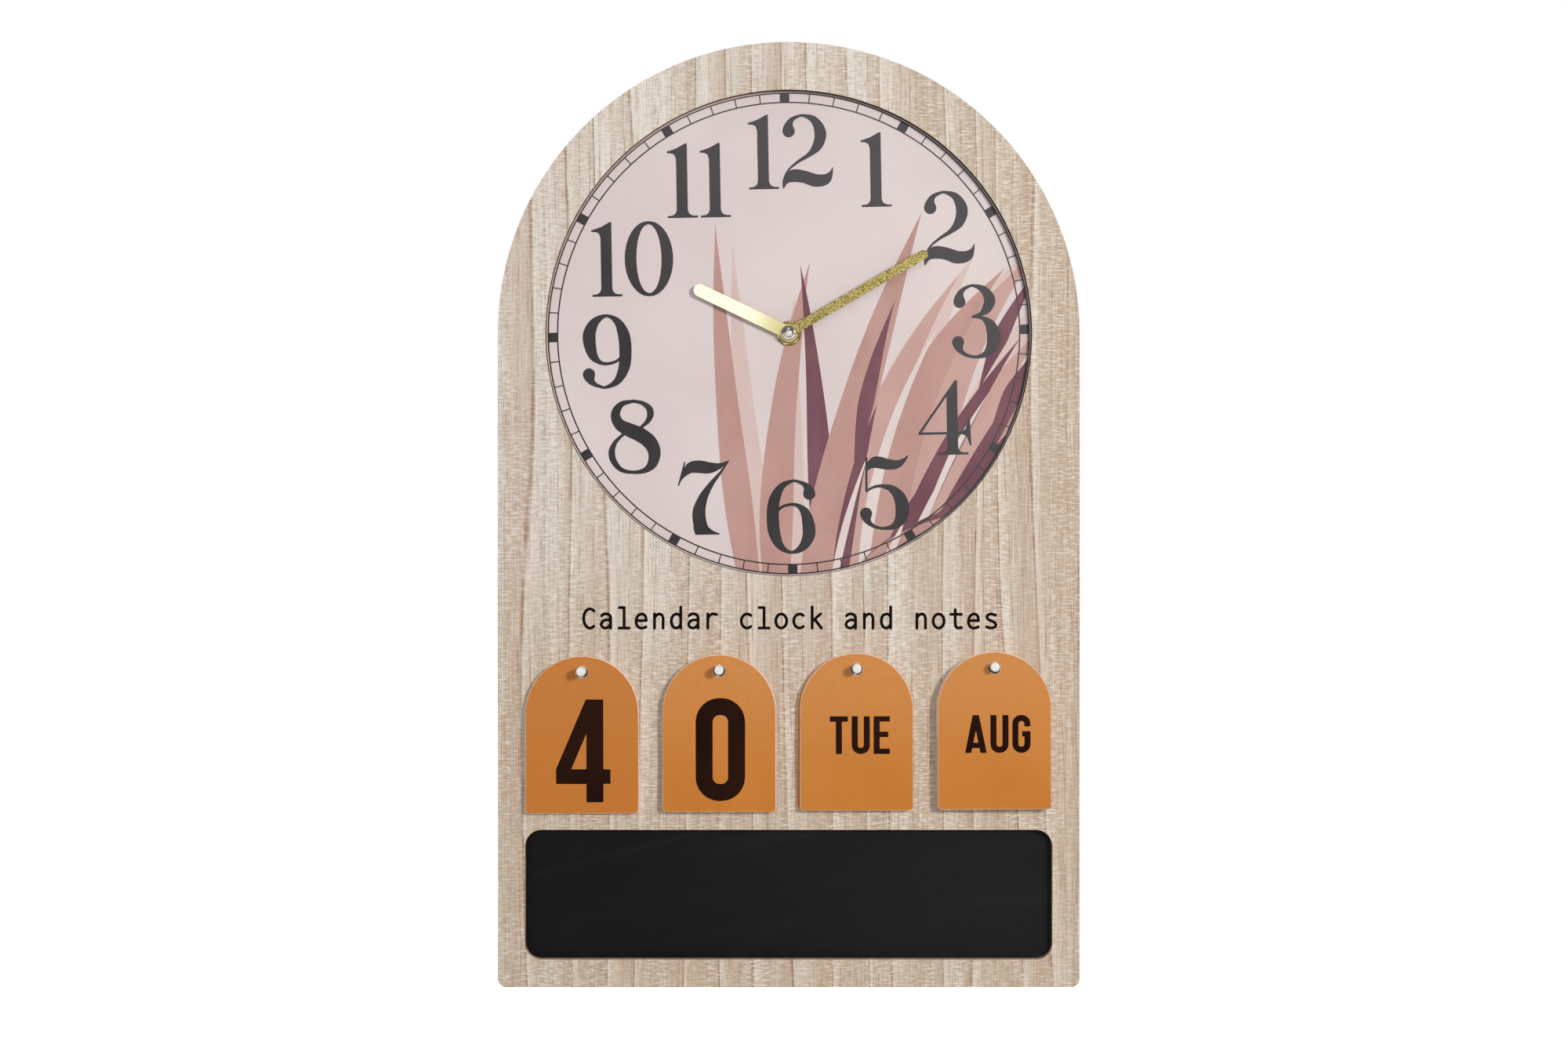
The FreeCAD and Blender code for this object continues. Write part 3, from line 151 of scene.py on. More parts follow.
def area(corners):
    """A polygon with straight sides."""
    points = np.array(corners, float)

    def distance(X, Y):
        nearest = np.full(X.shape, 9.0)
        inside = np.zeros(X.shape, bool)
        for (x0, y0), (x1, y1) in zip(points, np.roll(points, -1, axis=0)):
            dx, dy = x1 - x0, y1 - y0
            share = np.clip(((X - x0) * dx + (Y - y0) * dy) / (dx * dx + dy * dy + 1e-12), 0, 1)
            nearest = np.minimum(nearest, np.hypot(X - x0 - share * dx, Y - y0 - share * dy))
            if dy:
                crosses = ((Y >= y0) != (Y >= y1)) & (X < x0 + (Y - y0) * dx / dy)
                inside ^= crosses
        return np.where(inside, -nearest, nearest)
    return distance


def disc(x, y, radius):
    """A round spot."""
    return lambda X, Y: np.hypot(X - x, Y - y) - radius


def turned(shape, width):
    """The shape turned upside down in a letter of this width."""
    return lambda X, Y: shape(width - X, 1 - Y)


def joined(shapes, fillet=0.0):
    """The union of shapes, with their inner corners filled to about this radius."""
    def distance(X, Y):
        result = shapes[0](X, Y)
        for shape in shapes[1:]:
            other = shape(X, Y)
            lower = np.minimum(result, other)
            if fillet:
                overlap = np.maximum(fillet - np.abs(result - other), 0)
                lower = lower - overlap**2 / (4 * fillet)
            result = lower
        return result
    return distance


# Marching squares: for each pattern of inside corners, the cell edges that the outline enters
# and leaves by, with the inside on its left. Edges 0 to 3 are the bottom, right, top and left.
CROSSINGS = {
    1: [(0, 3)], 2: [(1, 0)], 3: [(1, 3)], 4: [(2, 1)], 5: [(0, 3), (2, 1)], 6: [(2, 0)], 7: [(2, 3)],
    8: [(3, 2)], 9: [(0, 2)], 10: [(1, 0), (3, 2)], 11: [(1, 2)], 12: [(3, 1)], 13: [(0, 1)],
    14: [(3, 0)],
}


def outlines(shape, low, high, cell, tolerance):
    """Closed outlines of a shape between two corners, as lists of (x, y)."""
    xs = np.arange(low[0] - 2 * cell, high[0] + 3 * cell, cell)
    ys = np.arange(low[1] - 2 * cell, high[1] + 3 * cell, cell)
    field = shape(*np.meshgrid(xs, ys, indexing="ij"))
    inside = field < 0
    pattern = (inside[:-1, :-1] * 1 + inside[1:, :-1] * 2 + inside[1:, 1:] * 4 + inside[:-1, 1:] * 8)

    def crossing(i, j, edge):
        """Key of a cell's edge, shared with the cell on its other side."""
        return {0: (i, j, 0), 1: (i + 1, j, 1), 2: (i, j + 1, 0), 3: (i, j, 1)}[edge]

    following = {}
    for i, j in np.argwhere((pattern > 0) & (pattern < 15)):
        for enters, leaves in CROSSINGS[int(pattern[i, j])]:
            following[crossing(i, j, enters)] = crossing(i, j, leaves)

    def place(key):
        i, j, upright = key
        k, m = (i, j + 1) if upright else (i + 1, j)
        share = field[i, j] / (field[i, j] - field[k, m])
        return (xs[i] + share * (xs[k] - xs[i]), ys[j] + share * (ys[m] - ys[j]))

    loops = []
    while following:
        start, key = following.popitem()
        loop = [place(start)]
        while key != start:
            loop.append(place(key))
            key = following.pop(key)
        loops.append(thinned(loop, tolerance))
    return [loop for loop in loops if len(loop) > 2]


def thinned(loop, tolerance):
    """The loop without the points that lie closer than the tolerance to the line between others."""
    points = np.array(loop)
    far = int(np.argmax(np.hypot(*(points - points[0]).T)))
    keep = {0, far}
    spans = [(0, far), (far, len(points))]
    while spans:
        first, last = spans.pop()
        if last - first < 2:
            continue
        start, end = points[first], points[last % len(points)]
        along = end - start
        between = points[first + 1:last] - start
        away = np.abs(between[:, 0] * along[1] - between[:, 1] * along[0]) / (np.hypot(*along) + 1e-12)
        worst = int(np.argmax(away))
        if away[worst] > tolerance:
            split = first + 1 + worst
            keep.add(split)
            spans += [(first, split), (split, last)]
    return [tuple(points[index]) for index in sorted(keep)]


# ---- Dial numerals: high contrast, with ball ends and flat feet. Each is 1 tall. ----
HAIR = 0.042
BALL_BLEND = 0.06       # how far a ball end runs into its hairline
NUMERAL_GAP = 0.038


def foot(left, right):
    """The flat slab under a stem."""
    return area([(left, 0), (right, 0), (right, 0.028), (left, 0.028)])


def flat_footed(shape):
    """The part of a shape above the line it stands on."""
    return lambda X, Y: np.maximum(shape(X, Y), -Y)


def balled(stroke, ball):
    """A stroke that ends in a ball."""
    return joined([brush(stroke), ball], BALL_BLEND)


def numeral_shapes():
    """Numeral -> (width, shape). Strokes are given as points (x, y, weight)."""
    flag = area([(0, 0.872), (0.06, 0.868), (0.1, 0.85), (0.122, 0.79), (0.27, 0.78), (0.27, 1),
                 (0.245, 1), (0.13, 0.936), (0.03, 0.902), (0, 0.898)])
    stem = area([(0.122, 0.02), (0.27, 0.02), (0.27, 0.95), (0.122, 0.9)])
    one = joined([flat_footed(joined([stem, foot(0, 0.405)], fillet=0.1)), flag])

    ring = [(0.325 + 0.247 * math.cos(a), 0.5 + 0.483 * math.sin(a),
             HAIR + 0.115 * abs(math.cos(a))**1.5) for a in np.arange(24) * math.tau / 24]
    zero = brush(smooth(ring, closed=True))

    two_top = smooth([(0.103, 0.775, 0.13), (0.1, 0.845, 0.105), (0.142, 0.922, 0.066),
                      (0.22, 0.967, HAIR), (0.31, 0.979, HAIR), (0.45, 0.915, 0.1),
                      (0.528, 0.75, 0.156), (0.49, 0.58, 0.132), (0.38, 0.46, 0.066),
                      (0.22, 0.36, 0.038), (0.09, 0.25, 0.026), (0.025, 0.12, 0.022),
                      (0.02, 0.02, 0.018)])
    two_base = smooth([(0.022, 0.008, 0.012), (0.063, 0.1, 0.06), (0.15, 0.172, 0.164),
                       (0.3, 0.158, 0.166), (0.45, 0.106, 0.17), (0.585, 0.118, 0.14),
                       (0.66, 0.2, 0.052), (0.685, 0.275, 0.012)])
    two = joined([balled(two_top, disc(0.103, 0.772, 0.07)), brush(two_base)])

    three_top = smooth([(0.103, 0.765, 0.125), (0.1, 0.838, 0.1), (0.142, 0.917, 0.062),
                        (0.215, 0.964, HAIR), (0.3, 0.979, HAIR), (0.435, 0.92, 0.1),
                        (0.508, 0.79, 0.15), (0.468, 0.67, 0.125), (0.39, 0.6, 0.06),
                        (0.27, 0.562, 0.026)])
    low_hook = [(0.32, 0.021, HAIR), (0.205, 0.04, 0.045), (0.125, 0.088, 0.064), (0.08, 0.15, 0.1),
                (0.075, 0.222, 0.128)]
    three_low = smooth([(0.27, 0.562, 0.026), (0.41, 0.54, 0.052), (0.512, 0.45, 0.135),
                        (0.556, 0.3, 0.18), (0.53, 0.16, 0.155), (0.45, 0.06, 0.09), *low_hook])
    low_ball = disc(0.075, 0.226, 0.068)
    three = joined([balled(three_top, disc(0.103, 0.762, 0.068)), balled(three_low, low_ball)])

    four_stem = area([(0.392, 0.02), (0.538, 0.02), (0.538, 1), (0.51, 1), (0.392, 0.83)])
    four_serif = area([(0.53, 0.305), (0.6, 0.315), (0.645, 0.35), (0.68, 0.48), (0.703, 0.49),
                       (0.716, 0.12), (0.698, 0.12), (0.655, 0.245), (0.6, 0.272), (0.53, 0.275)])
    four_hairs = [brush([(0.02, 0.29), far_end], 0.032) for far_end in ((0.515, 0.985), (0.55, 0.29))]
    four = joined([flat_footed(joined([four_stem, foot(0.263, 0.675)], fillet=0.09)), four_serif,
                   *four_hairs])

    five_bowl = smooth([(0.085, 0.525, 0.03), (0.18, 0.576, 0.036), (0.29, 0.59, 0.048),
                        (0.43, 0.548, 0.1), (0.532, 0.43, 0.16), (0.565, 0.28, 0.185),
                        (0.535, 0.14, 0.15), (0.45, 0.05, 0.085), *low_hook])
    five_flag = smooth([(0.1, 0.8, 0.01), (0.135, 0.866, 0.085), (0.22, 0.912, 0.156),
                        (0.37, 0.882, 0.146), (0.5, 0.878, 0.11), (0.6, 0.935, 0.05),
                        (0.65, 0.995, 0.012)])
    five = joined([balled(five_bowl, low_ball), brush(five_flag),
                   brush([(0.092, 0.97), (0.085, 0.525)], 0.03)])

    six_line = smooth([(0.58, 0.806, 0.13), (0.57, 0.87, 0.105), (0.518, 0.93, 0.066),
                       (0.44, 0.966, HAIR), (0.35, 0.979, HAIR), (0.202, 0.9, 0.095),
                       (0.108, 0.72, 0.15), (0.084, 0.5, 0.163), (0.104, 0.28, 0.157),
                       (0.182, 0.105, 0.098), (0.325, 0.021, HAIR), (0.472, 0.085, 0.105),
                       (0.556, 0.22, 0.16), (0.567, 0.36, 0.17), (0.526, 0.54, 0.126),
                       (0.44, 0.638, 0.062), (0.34, 0.665, HAIR), (0.22, 0.638, 0.038),
                       (0.14, 0.58, 0.036)])
    six = balled(six_line, disc(0.58, 0.803, 0.07))

    seven_flag = smooth([(0.015, 0.7, 0.012), (0.075, 0.8, 0.05), (0.17, 0.9, 0.14),
                         (0.28, 0.915, 0.17), (0.42, 0.898, 0.15), (0.56, 0.92, 0.075),
                         (0.685, 0.985, 0.014)])
    seven_leg = smooth([(0.68, 0.978, 0.014), (0.58, 0.84, 0.032), (0.455, 0.69, 0.065),
                        (0.345, 0.52, 0.115), (0.28, 0.34, 0.165), (0.278, 0.2, 0.18),
                        (0.3, 0.12, 0.17)])
    seven_foot = area([(0.22, 0), (0.55, 0), (0.55, 0.012), (0.46, 0.05), (0.4, 0.1),
                       (0.365, 0.18), (0.2, 0.18), (0.195, 0.1)])
    seven = joined([brush(seven_flag), brush(seven_leg), seven_foot,
                    brush([(0.095, 0.975), (0.008, 0.67)], 0.02)])

    eight_line = smooth([(0.353, 0.98, HAIR), (0.2, 0.944, 0.074), (0.122, 0.85, 0.114),
                         (0.116, 0.755, 0.13), (0.175, 0.66, 0.155), (0.3, 0.59, 0.187),
                         (0.44, 0.525, 0.196), (0.565, 0.425, 0.19), (0.625, 0.29, 0.168),
                         (0.597, 0.14, 0.13), (0.5, 0.05, 0.075), (0.345, 0.022, 0.046),
                         (0.18, 0.058, 0.06), (0.08, 0.17, 0.083), (0.052, 0.3, 0.086),
                         (0.095, 0.42, 0.058), (0.17, 0.5, 0.042), (0.235, 0.55, 0.036)])
    eight_top = smooth([(0.353, 0.98, HAIR), (0.475, 0.95, 0.056), (0.563, 0.88, 0.084),
                        (0.58, 0.8, 0.09), (0.548, 0.715, 0.066), (0.47, 0.64, 0.042),
                        (0.4, 0.59, 0.036)])
    eight = joined([brush(eight_line), brush(eight_top)])

    six_width = 0.655
    return {"1": (0.405, one), "0": (0.65, zero), "2": (0.69, two), "3": (0.655, three),
            "4": (0.72, four), "5": (0.66, five), "6": (six_width, six), "7": (0.69, seven),
            "8": (0.715, eight), "9": (six_width, turned(six, six_width))}


# ---- Card lettering: bold condensed capitals and digits, 1 tall ----
def block_shapes(weight):
    """Letter -> (width, shape), with strokes of this weight."""
    wide = 0.48
    left, right, low, high = weight / 2, wide - weight / 2, weight / 2, 1 - weight / 2
    bend = wide / 2 - weight / 2 - 0.01

    def line(*corners, radius=bend, closed=False):
        return brush(rounded(corners, radius, closed), weight, square_ends=not closed)

    def upright(x, bottom=0.0, top=1.0):
        return area([(x - left, bottom), (x + left, bottom), (x + left, top), (x - left, top)])

    def level(y, start=0.0, end=wide, thick=0.88 * weight):
        below, above = y - thick / 2, y + thick / 2
        return area([(start, below), (end, below), (end, above), (start, above)])

    def slant(x0, y0, x1, y1, thick=1.02 * weight):
        half = thick / 2
        return area([(x0 - half, y0), (x0 + half, y0), (x1 + half, y1), (x1 - half, y1)])

    cap, base = 1 - 0.44 * weight, 0.44 * weight
    middle_y, short = 0.52, 0.43
    bowl_left = line((0, high), (right, high), (right, middle_y), (0, middle_y))
    ring = line((left, low), (right, low), (right, high), (left, high), closed=True)
    broad = wide + 1.2 * weight
    letters = {
        "0": [ring],
        "1": [upright(0.24), area([(0.24, 1), (0.24, 0.84), (0.09, 0.78), (0.09, 0.88)])],
        "2": [line((left, 0.7), (left, high), (right, high), (right, 0.62), (left + 0.02, 0.12),
                   (left, 0.0)), level(base)],
        "3": [line((left, 0.72), (left, high), (right, high), (right, 0.52), (0.17, 0.52)),
              line((0.17, 0.52), (right, 0.52), (right, low), (left, low), (left, 0.28))],
        "4": [upright(0.378), level(0.25, 0, 0.53, 0.142), slant(0.074, 0.321, 0.364, 1, 0.148)],
        "5": [level(cap), upright(left, 0.5, 1),
              line((left, 0.48), (left, 0.6), (right, 0.6), (right, low), (left, low), (left, 0.28))],
        "6": [line((right, 0.72), (right, high), (left, high), (left, low), (right, low),
                   (right, 0.58), (0, 0.58))],
        "7": [level(cap), slant(0.2, 0, wide - left, 0.95)],
        "8": [ring, level(0.52, left, right)],
        "9": [line((left, 0.28), (left, low), (right, low), (right, high), (left, high),
                   (left, 0.42), (wide, 0.42))],
        "A": [slant(left, 0, 0.285, 1), slant(0.57 - left, 0, 0.285, 1), level(0.2, 0.12, 0.45, 0.14)],
        "B": [upright(left), bowl_left, line((0, middle_y), (right, middle_y), (right, low), (0, low))],
        "C": [line((right, 0.64), (right, high), (left, high), (left, low), (right, low),
                   (right, 0.36))],
        "D": [upright(left), line((0, high), (right, high), (right, low), (0, low))],
        "E": [upright(left), level(cap, 0, short), level(base, 0, short),
              level(middle_y, 0, short - 0.04)],
        "F": [upright(left), level(cap, 0, short), level(middle_y, 0, short - 0.04)],
        "G": [line((right, 0.7), (right, high), (left, high), (left, low), (right, low), (right, 0.5)),
              level(0.5, 0.26, wide)],
        "H": [upright(left), upright(right), level(middle_y)],
        "I": [upright(left)],
        "J": [line((0, low), (0.33 - left, low), (0.33 - left, 1))],
        "L": [upright(left), level(base, 0, 0.38)],
        "M": [upright(left), upright(broad - left), slant(broad / 2, 0.1, left * 1.2, 1),
              slant(broad / 2, 0.1, broad - left * 1.2, 1)],
        "N": [upright(left), upright(0.5 - left), slant(0.5 - left, 0, left, 1)],
        "O": [ring],
        "P": [upright(left), line((0, high), (right, high), (right, 0.42), (0, 0.42))],
        "R": [upright(left), line((0, high), (right, high), (right, 0.5), (0, 0.5)),
              slant(right + 0.01, 0, right - 0.06, 0.5)],
        "S": [line((right, 0.7), (right, high), (left, high), (left, 0.6), (right, 0.42), (right, low),
                   (left, low), (left, 0.3), radius=0.09)],
        "T": [level(cap), upright(wide / 2)],
        "U": [line((left, 1), (left, low), (right, low), (right, 1))],
        "V": [slant(0.245, 0, left, 1), slant(0.245, 0, 0.49 - left, 1)],
        "W": [slant(0.2, 0, left, 1), slant(0.2, 0, 0.34, 1), slant(0.48, 0, 0.34, 1),
              slant(0.48, 0, 0.68 - left, 1)],
        "Y": [upright(0.245, 0, 0.45), slant(0.245, 0.4, left, 1), slant(0.245, 0.4, 0.49 - left, 1)],
    }
    widths = {"1": 0.33, "4": 0.53, "A": 0.57, "E": short, "F": short, "I": weight, "J": 0.33,
              "L": 0.38, "M": broad, "N": 0.5, "V": 0.49, "W": 0.68, "Y": 0.49}
    return {letter: (widths.get(letter, wide), joined(shapes)) for letter, shapes in letters.items()}


# ---- Board lettering: thin typewriter letters, capitals 1 tall, all in cells of one width ----
CELL_WIDTH = 0.835
PEN = 0.14


def pen_shapes():
    """Letter -> (cell width, shape)."""
    def curl(*points):
        return brush(smooth(points), PEN)

    def line(*points):
        return brush(points, PEN)

    def oval(x, y, wide, tall, start=0.0, end=360.0):
        steps = np.radians(np.linspace(start, end, 33))
        return brush([(x + wide * math.cos(a), y + tall * math.sin(a)) for a in steps], PEN)

    letters = {
        "C": [oval(0.47, 0.5, 0.3, 0.46, 52, 308)],
        "a": [curl((0.19, 0.63), (0.3, 0.71), (0.44, 0.715), (0.57, 0.66), (0.62, 0.52),
                   (0.62, 0.3), (0.62, 0.04)),
              curl((0.61, 0.42), (0.4, 0.43), (0.24, 0.36), (0.17, 0.21), (0.25, 0.08), (0.39, 0.045),
                   (0.53, 0.11), (0.61, 0.22))],
        "c": [oval(0.46, 0.38, 0.28, 0.335, 52, 308)],
        "d": [line((0.63, 0.04), (0.63, 1.05)),
              curl((0.63, 0.58), (0.53, 0.69), (0.42, 0.715), (0.25, 0.62), (0.18, 0.38), (0.25, 0.13),
                   (0.4, 0.045), (0.53, 0.09), (0.63, 0.22))],
        "e": [line((0.17, 0.4), (0.65, 0.4)),
              curl((0.65, 0.4), (0.62, 0.59), (0.53, 0.69), (0.42, 0.715), (0.25, 0.62), (0.17, 0.4),
                   (0.21, 0.17), (0.34, 0.055), (0.48, 0.045), (0.64, 0.1))],
        "k": [line((0.22, 0.04), (0.22, 1.05)), line((0.62, 0.72), (0.23, 0.36)),
              line((0.35, 0.46), (0.66, 0.04))],
        "l": [line((0.2, 1.02), (0.43, 1.02), (0.43, 0.045)), line((0.19, 0.045), (0.67, 0.045))],
        "n": [line((0.21, 0.04), (0.21, 0.72)),
              curl((0.21, 0.53), (0.31, 0.66), (0.43, 0.715), (0.56, 0.665), (0.62, 0.52),
                   (0.62, 0.3), (0.62, 0.04))],
        "o": [oval(0.415, 0.38, 0.26, 0.335)],
        "r": [line((0.25, 0.04), (0.25, 0.72)),
              curl((0.25, 0.5), (0.35, 0.65), (0.49, 0.72), (0.67, 0.69))],
        "s": [curl((0.62, 0.655), (0.44, 0.715), (0.28, 0.68), (0.21, 0.57), (0.29, 0.45), (0.43, 0.385),
                   (0.58, 0.31), (0.64, 0.19), (0.56, 0.08), (0.4, 0.045), (0.2, 0.1))],
        "t": [curl((0.37, 0.93), (0.37, 0.6), (0.37, 0.25), (0.42, 0.09), (0.53, 0.05), (0.67, 0.065)),
              line((0.16, 0.7), (0.66, 0.7))],
    }
    return {letter: (CELL_WIDTH, joined(shapes)) for letter, shapes in letters.items()}


class Face:
    """A set of letters whose outlines are worked out once each.

    gap is the room between letters and cell the size of the squares that an outline is found on,
    both as shares of a capital's height.
    """
    SIDE_ROOM, LOWEST, HIGHEST = 0.05, -0.1, 1.12
    TOLERANCE = 0.0012

    def __init__(self, letters, gap, cell):
        self.letters = letters
        self.gap = gap
        self.cell = cell
        self.known = {}

    def outline(self, letter):
        if letter not in self.known:
            width, shape = self.letters[letter]
            low, high = (-self.SIDE_ROOM, self.LOWEST), (width + self.SIDE_ROOM, self.HIGHEST)
            self.known[letter] = outlines(shape, low, high, self.cell, self.TOLERANCE)
        return self.known[letter]

    def width(self, text):
        """Width of the text; the words with spaces are set in pen letters, whose cells are alike."""
        if " " in text:
            return len(text) * CELL_WIDTH
        return sum(self.letters[letter][0] for letter in text) + self.gap * (len(text) - 1)

    def write(self, text, size, centre, turn=0.0):
        """Outlines of the text in millimetres, centred on a point, turned by degrees."""
        cos, sin = math.cos(math.radians(turn)), math.sin(math.radians(turn))
        groups = []
        pen = 0.0
        total = self.width(text)
        for letter in text:
            if letter == " ":
                pen += CELL_WIDTH
                continue
            group = []
            for loop in self.outline(letter):
                flat = [((x + pen - total / 2) * size, (y - 0.5) * size) for x, y in loop]
                group.append([(centre[0] + u * cos - v * sin, centre[1] + u * sin + v * cos)
                              for u, v in flat])
            groups.append(group)
            pen += self.letters[letter][0] + self.gap
        return groups


# ---- Printed pieces: thin closed meshes on a face ----
INK = 0.03          # thickness of a layer of print, in millimetres


def printed(name, layers, material, body, face, rear=False):
    """A mesh from layers of (height, outline groups in mm as (x, z)), on the plane y = face."""
    points, faces = [], []
    toward = 1 if rear else -1
    for height, groups in layers:
        for loops in groups:
            flat = [[Vector((x, z, 0)) for x, z in loop] for loop in loops]
            triangles = tessellate_polygon(flat)
            first = len(points)
            corners = [corner for loop in loops for corner in loop]
            for depth in (height, height - INK):
                points += [(x * MM, (face + toward * depth) * MM, z * MM) for x, z in corners]
            count = len(corners)
            for a, b, c in triangles:
                area_sign = ((corners[b][0] - corners[a][0]) * (corners[c][1] - corners[a][1])
                             - (corners[b][1] - corners[a][1]) * (corners[c][0] - corners[a][0]))
                if (area_sign > 0) == rear:
                    a, c = c, a
                faces.append((first + a, first + b, first + c))
                faces.append((first + count + c, first + count + b, first + count + a))
            start = first
            for loop in loops:
                size = len(loop)
                for index in range(size):
                    here, after = start + index, start + (index + 1) % size
                    side = (here, here + count, after + count, after)
                    faces.append(side[::-1] if rear else side)
                start += size
    mesh = bpy.data.meshes.new(name)
    mesh.from_pydata(points, [], faces)
    mesh.validate()
    mesh.materials.append(material)
    piece = bpy.data.objects.new(name, mesh)
    bpy.context.scene.collection.objects.link(piece)
    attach(piece, body)
    return piece


# ---- Materials ----
def linear(colour):
    """An 8-bit screen colour as the linear values that shaders use."""
    parts = [part / 255 for part in colour]
    parts = [part / 12.92 if part <= 0.04045 else ((part + 0.055) / 1.055)**2.4 for part in parts]
    return (*parts, 1.0)


class Look:
    """One material: a Principled shader, and short calls that add its nodes."""

    def __init__(self, name, **settings):
        self.material = bpy.data.materials.new(name)
        self.material.use_nodes = True
        self.tree = self.material.node_tree
        self.shader = self.tree.nodes["Principled BSDF"]
        self.source = self.tree.nodes.new("ShaderNodeTexCoord").outputs["Object"]
        for setting, value in settings.items():
            self.shader.inputs[setting.replace("_", " ")].default_value = value

    def node(self, kind, inputs=(), **properties):
        node = self.tree.nodes.new("ShaderNode" + kind)
        for name, value in properties.items():
            setattr(node, name, value)
        for socket, value in dict(inputs).items():
            if isinstance(value, bpy.types.NodeSocket):
                self.tree.links.new(value, node.inputs[socket])
            else:
                node.inputs[socket].default_value = value
        return node

    def stretched(self, x, y, z, turn=0.0):
        """Object coordinates turned about Y by degrees, then multiplied along each axis."""
        turned_place = self.source
        if turn:
            turned_place = self.node("VectorRotate", {"Vector": self.source, "Axis": (0, 1, 0),
                                                      "Angle": math.radians(turn)}).outputs["Vector"]
        return self.node("VectorMath", {0: turned_place, 1: (x, y, z)}, operation="MULTIPLY").outputs[0]

    def along(self, axis):
        """One of the object coordinates, in metres."""
        return self.node("SeparateXYZ", {0: self.source}).outputs[axis]

    def noise(self, place, detail=2.0, roughness=0.5, distortion=0.0):
        settings = {"Vector": place, "Scale": 1.0, "Detail": detail, "Roughness": roughness,
                    "Distortion": distortion}
        return self.node("TexNoise", settings).outputs["Fac"]

    def speckle(self, scale, *settings):
        """Noise of one scale in every direction."""
        return self.noise(self.stretched(scale, scale, scale), *settings)

    def fade(self, amount, low, high, start=0.0, end=1.0):
        """start below low, end above high, smooth between."""
        settings = {"Value": amount, "From Min": low, "From Max": high, "To Min": start, "To Max": end}
        return self.node("MapRange", settings, interpolation_type="SMOOTHSTEP").outputs["Result"]

    def maths(self, operation, first, second=0.0):
        return self.node("Math", {0: first, 1: second}, operation=operation).outputs[0]

    def mixed(self, amount, first, second):
        """The first colour where the amount is 0, the second where it is 1."""
        node = self.node("Mix", {"Factor": amount}, data_type="RGBA", blend_type="MIX")
        for index, value in ((6, first), (7, second)):      # the sockets of its two colours
            if isinstance(value, bpy.types.NodeSocket):
                self.tree.links.new(value, node.inputs[index])
            else:
                node.inputs[index].default_value = linear(value)
        return node.outputs[2]

    def away(self, axis):
        """Distance in metres from a line along Y through (x, z)."""
        line = (axis[0], 0, axis[1])
        return self.node("VectorMath", {0: self.stretched(1, 0, 1), 1: line},
                         operation="DISTANCE").outputs["Value"]

    def colour(self, output):
        self.tree.links.new(output, self.shader.inputs["Base Color"])

    def roughness(self, amount, low, high):
        """Roughness that runs from low to high with an amount from 0 to 1."""
        self.tree.links.new(self.fade(amount, 0.0, 1.0, low, high), self.shader.inputs["Roughness"])

    def bump(self, height, distance, strength=1.0):
        """Relief of this depth, in millimetres."""
        node = self.node("Bump", {"Height": height, "Distance": distance * MM, "Strength": strength})
        self.tree.links.new(node.outputs[0], self.shader.inputs["Normal"])

    def finished(self, tone, texture, rough_range, depth, strength):
        """The material with this colour, and a roughness range and relief that follow one texture."""
        self.colour(tone)
        self.roughness(texture, *rough_range)
        self.bump(texture, depth, strength)
        return self.material


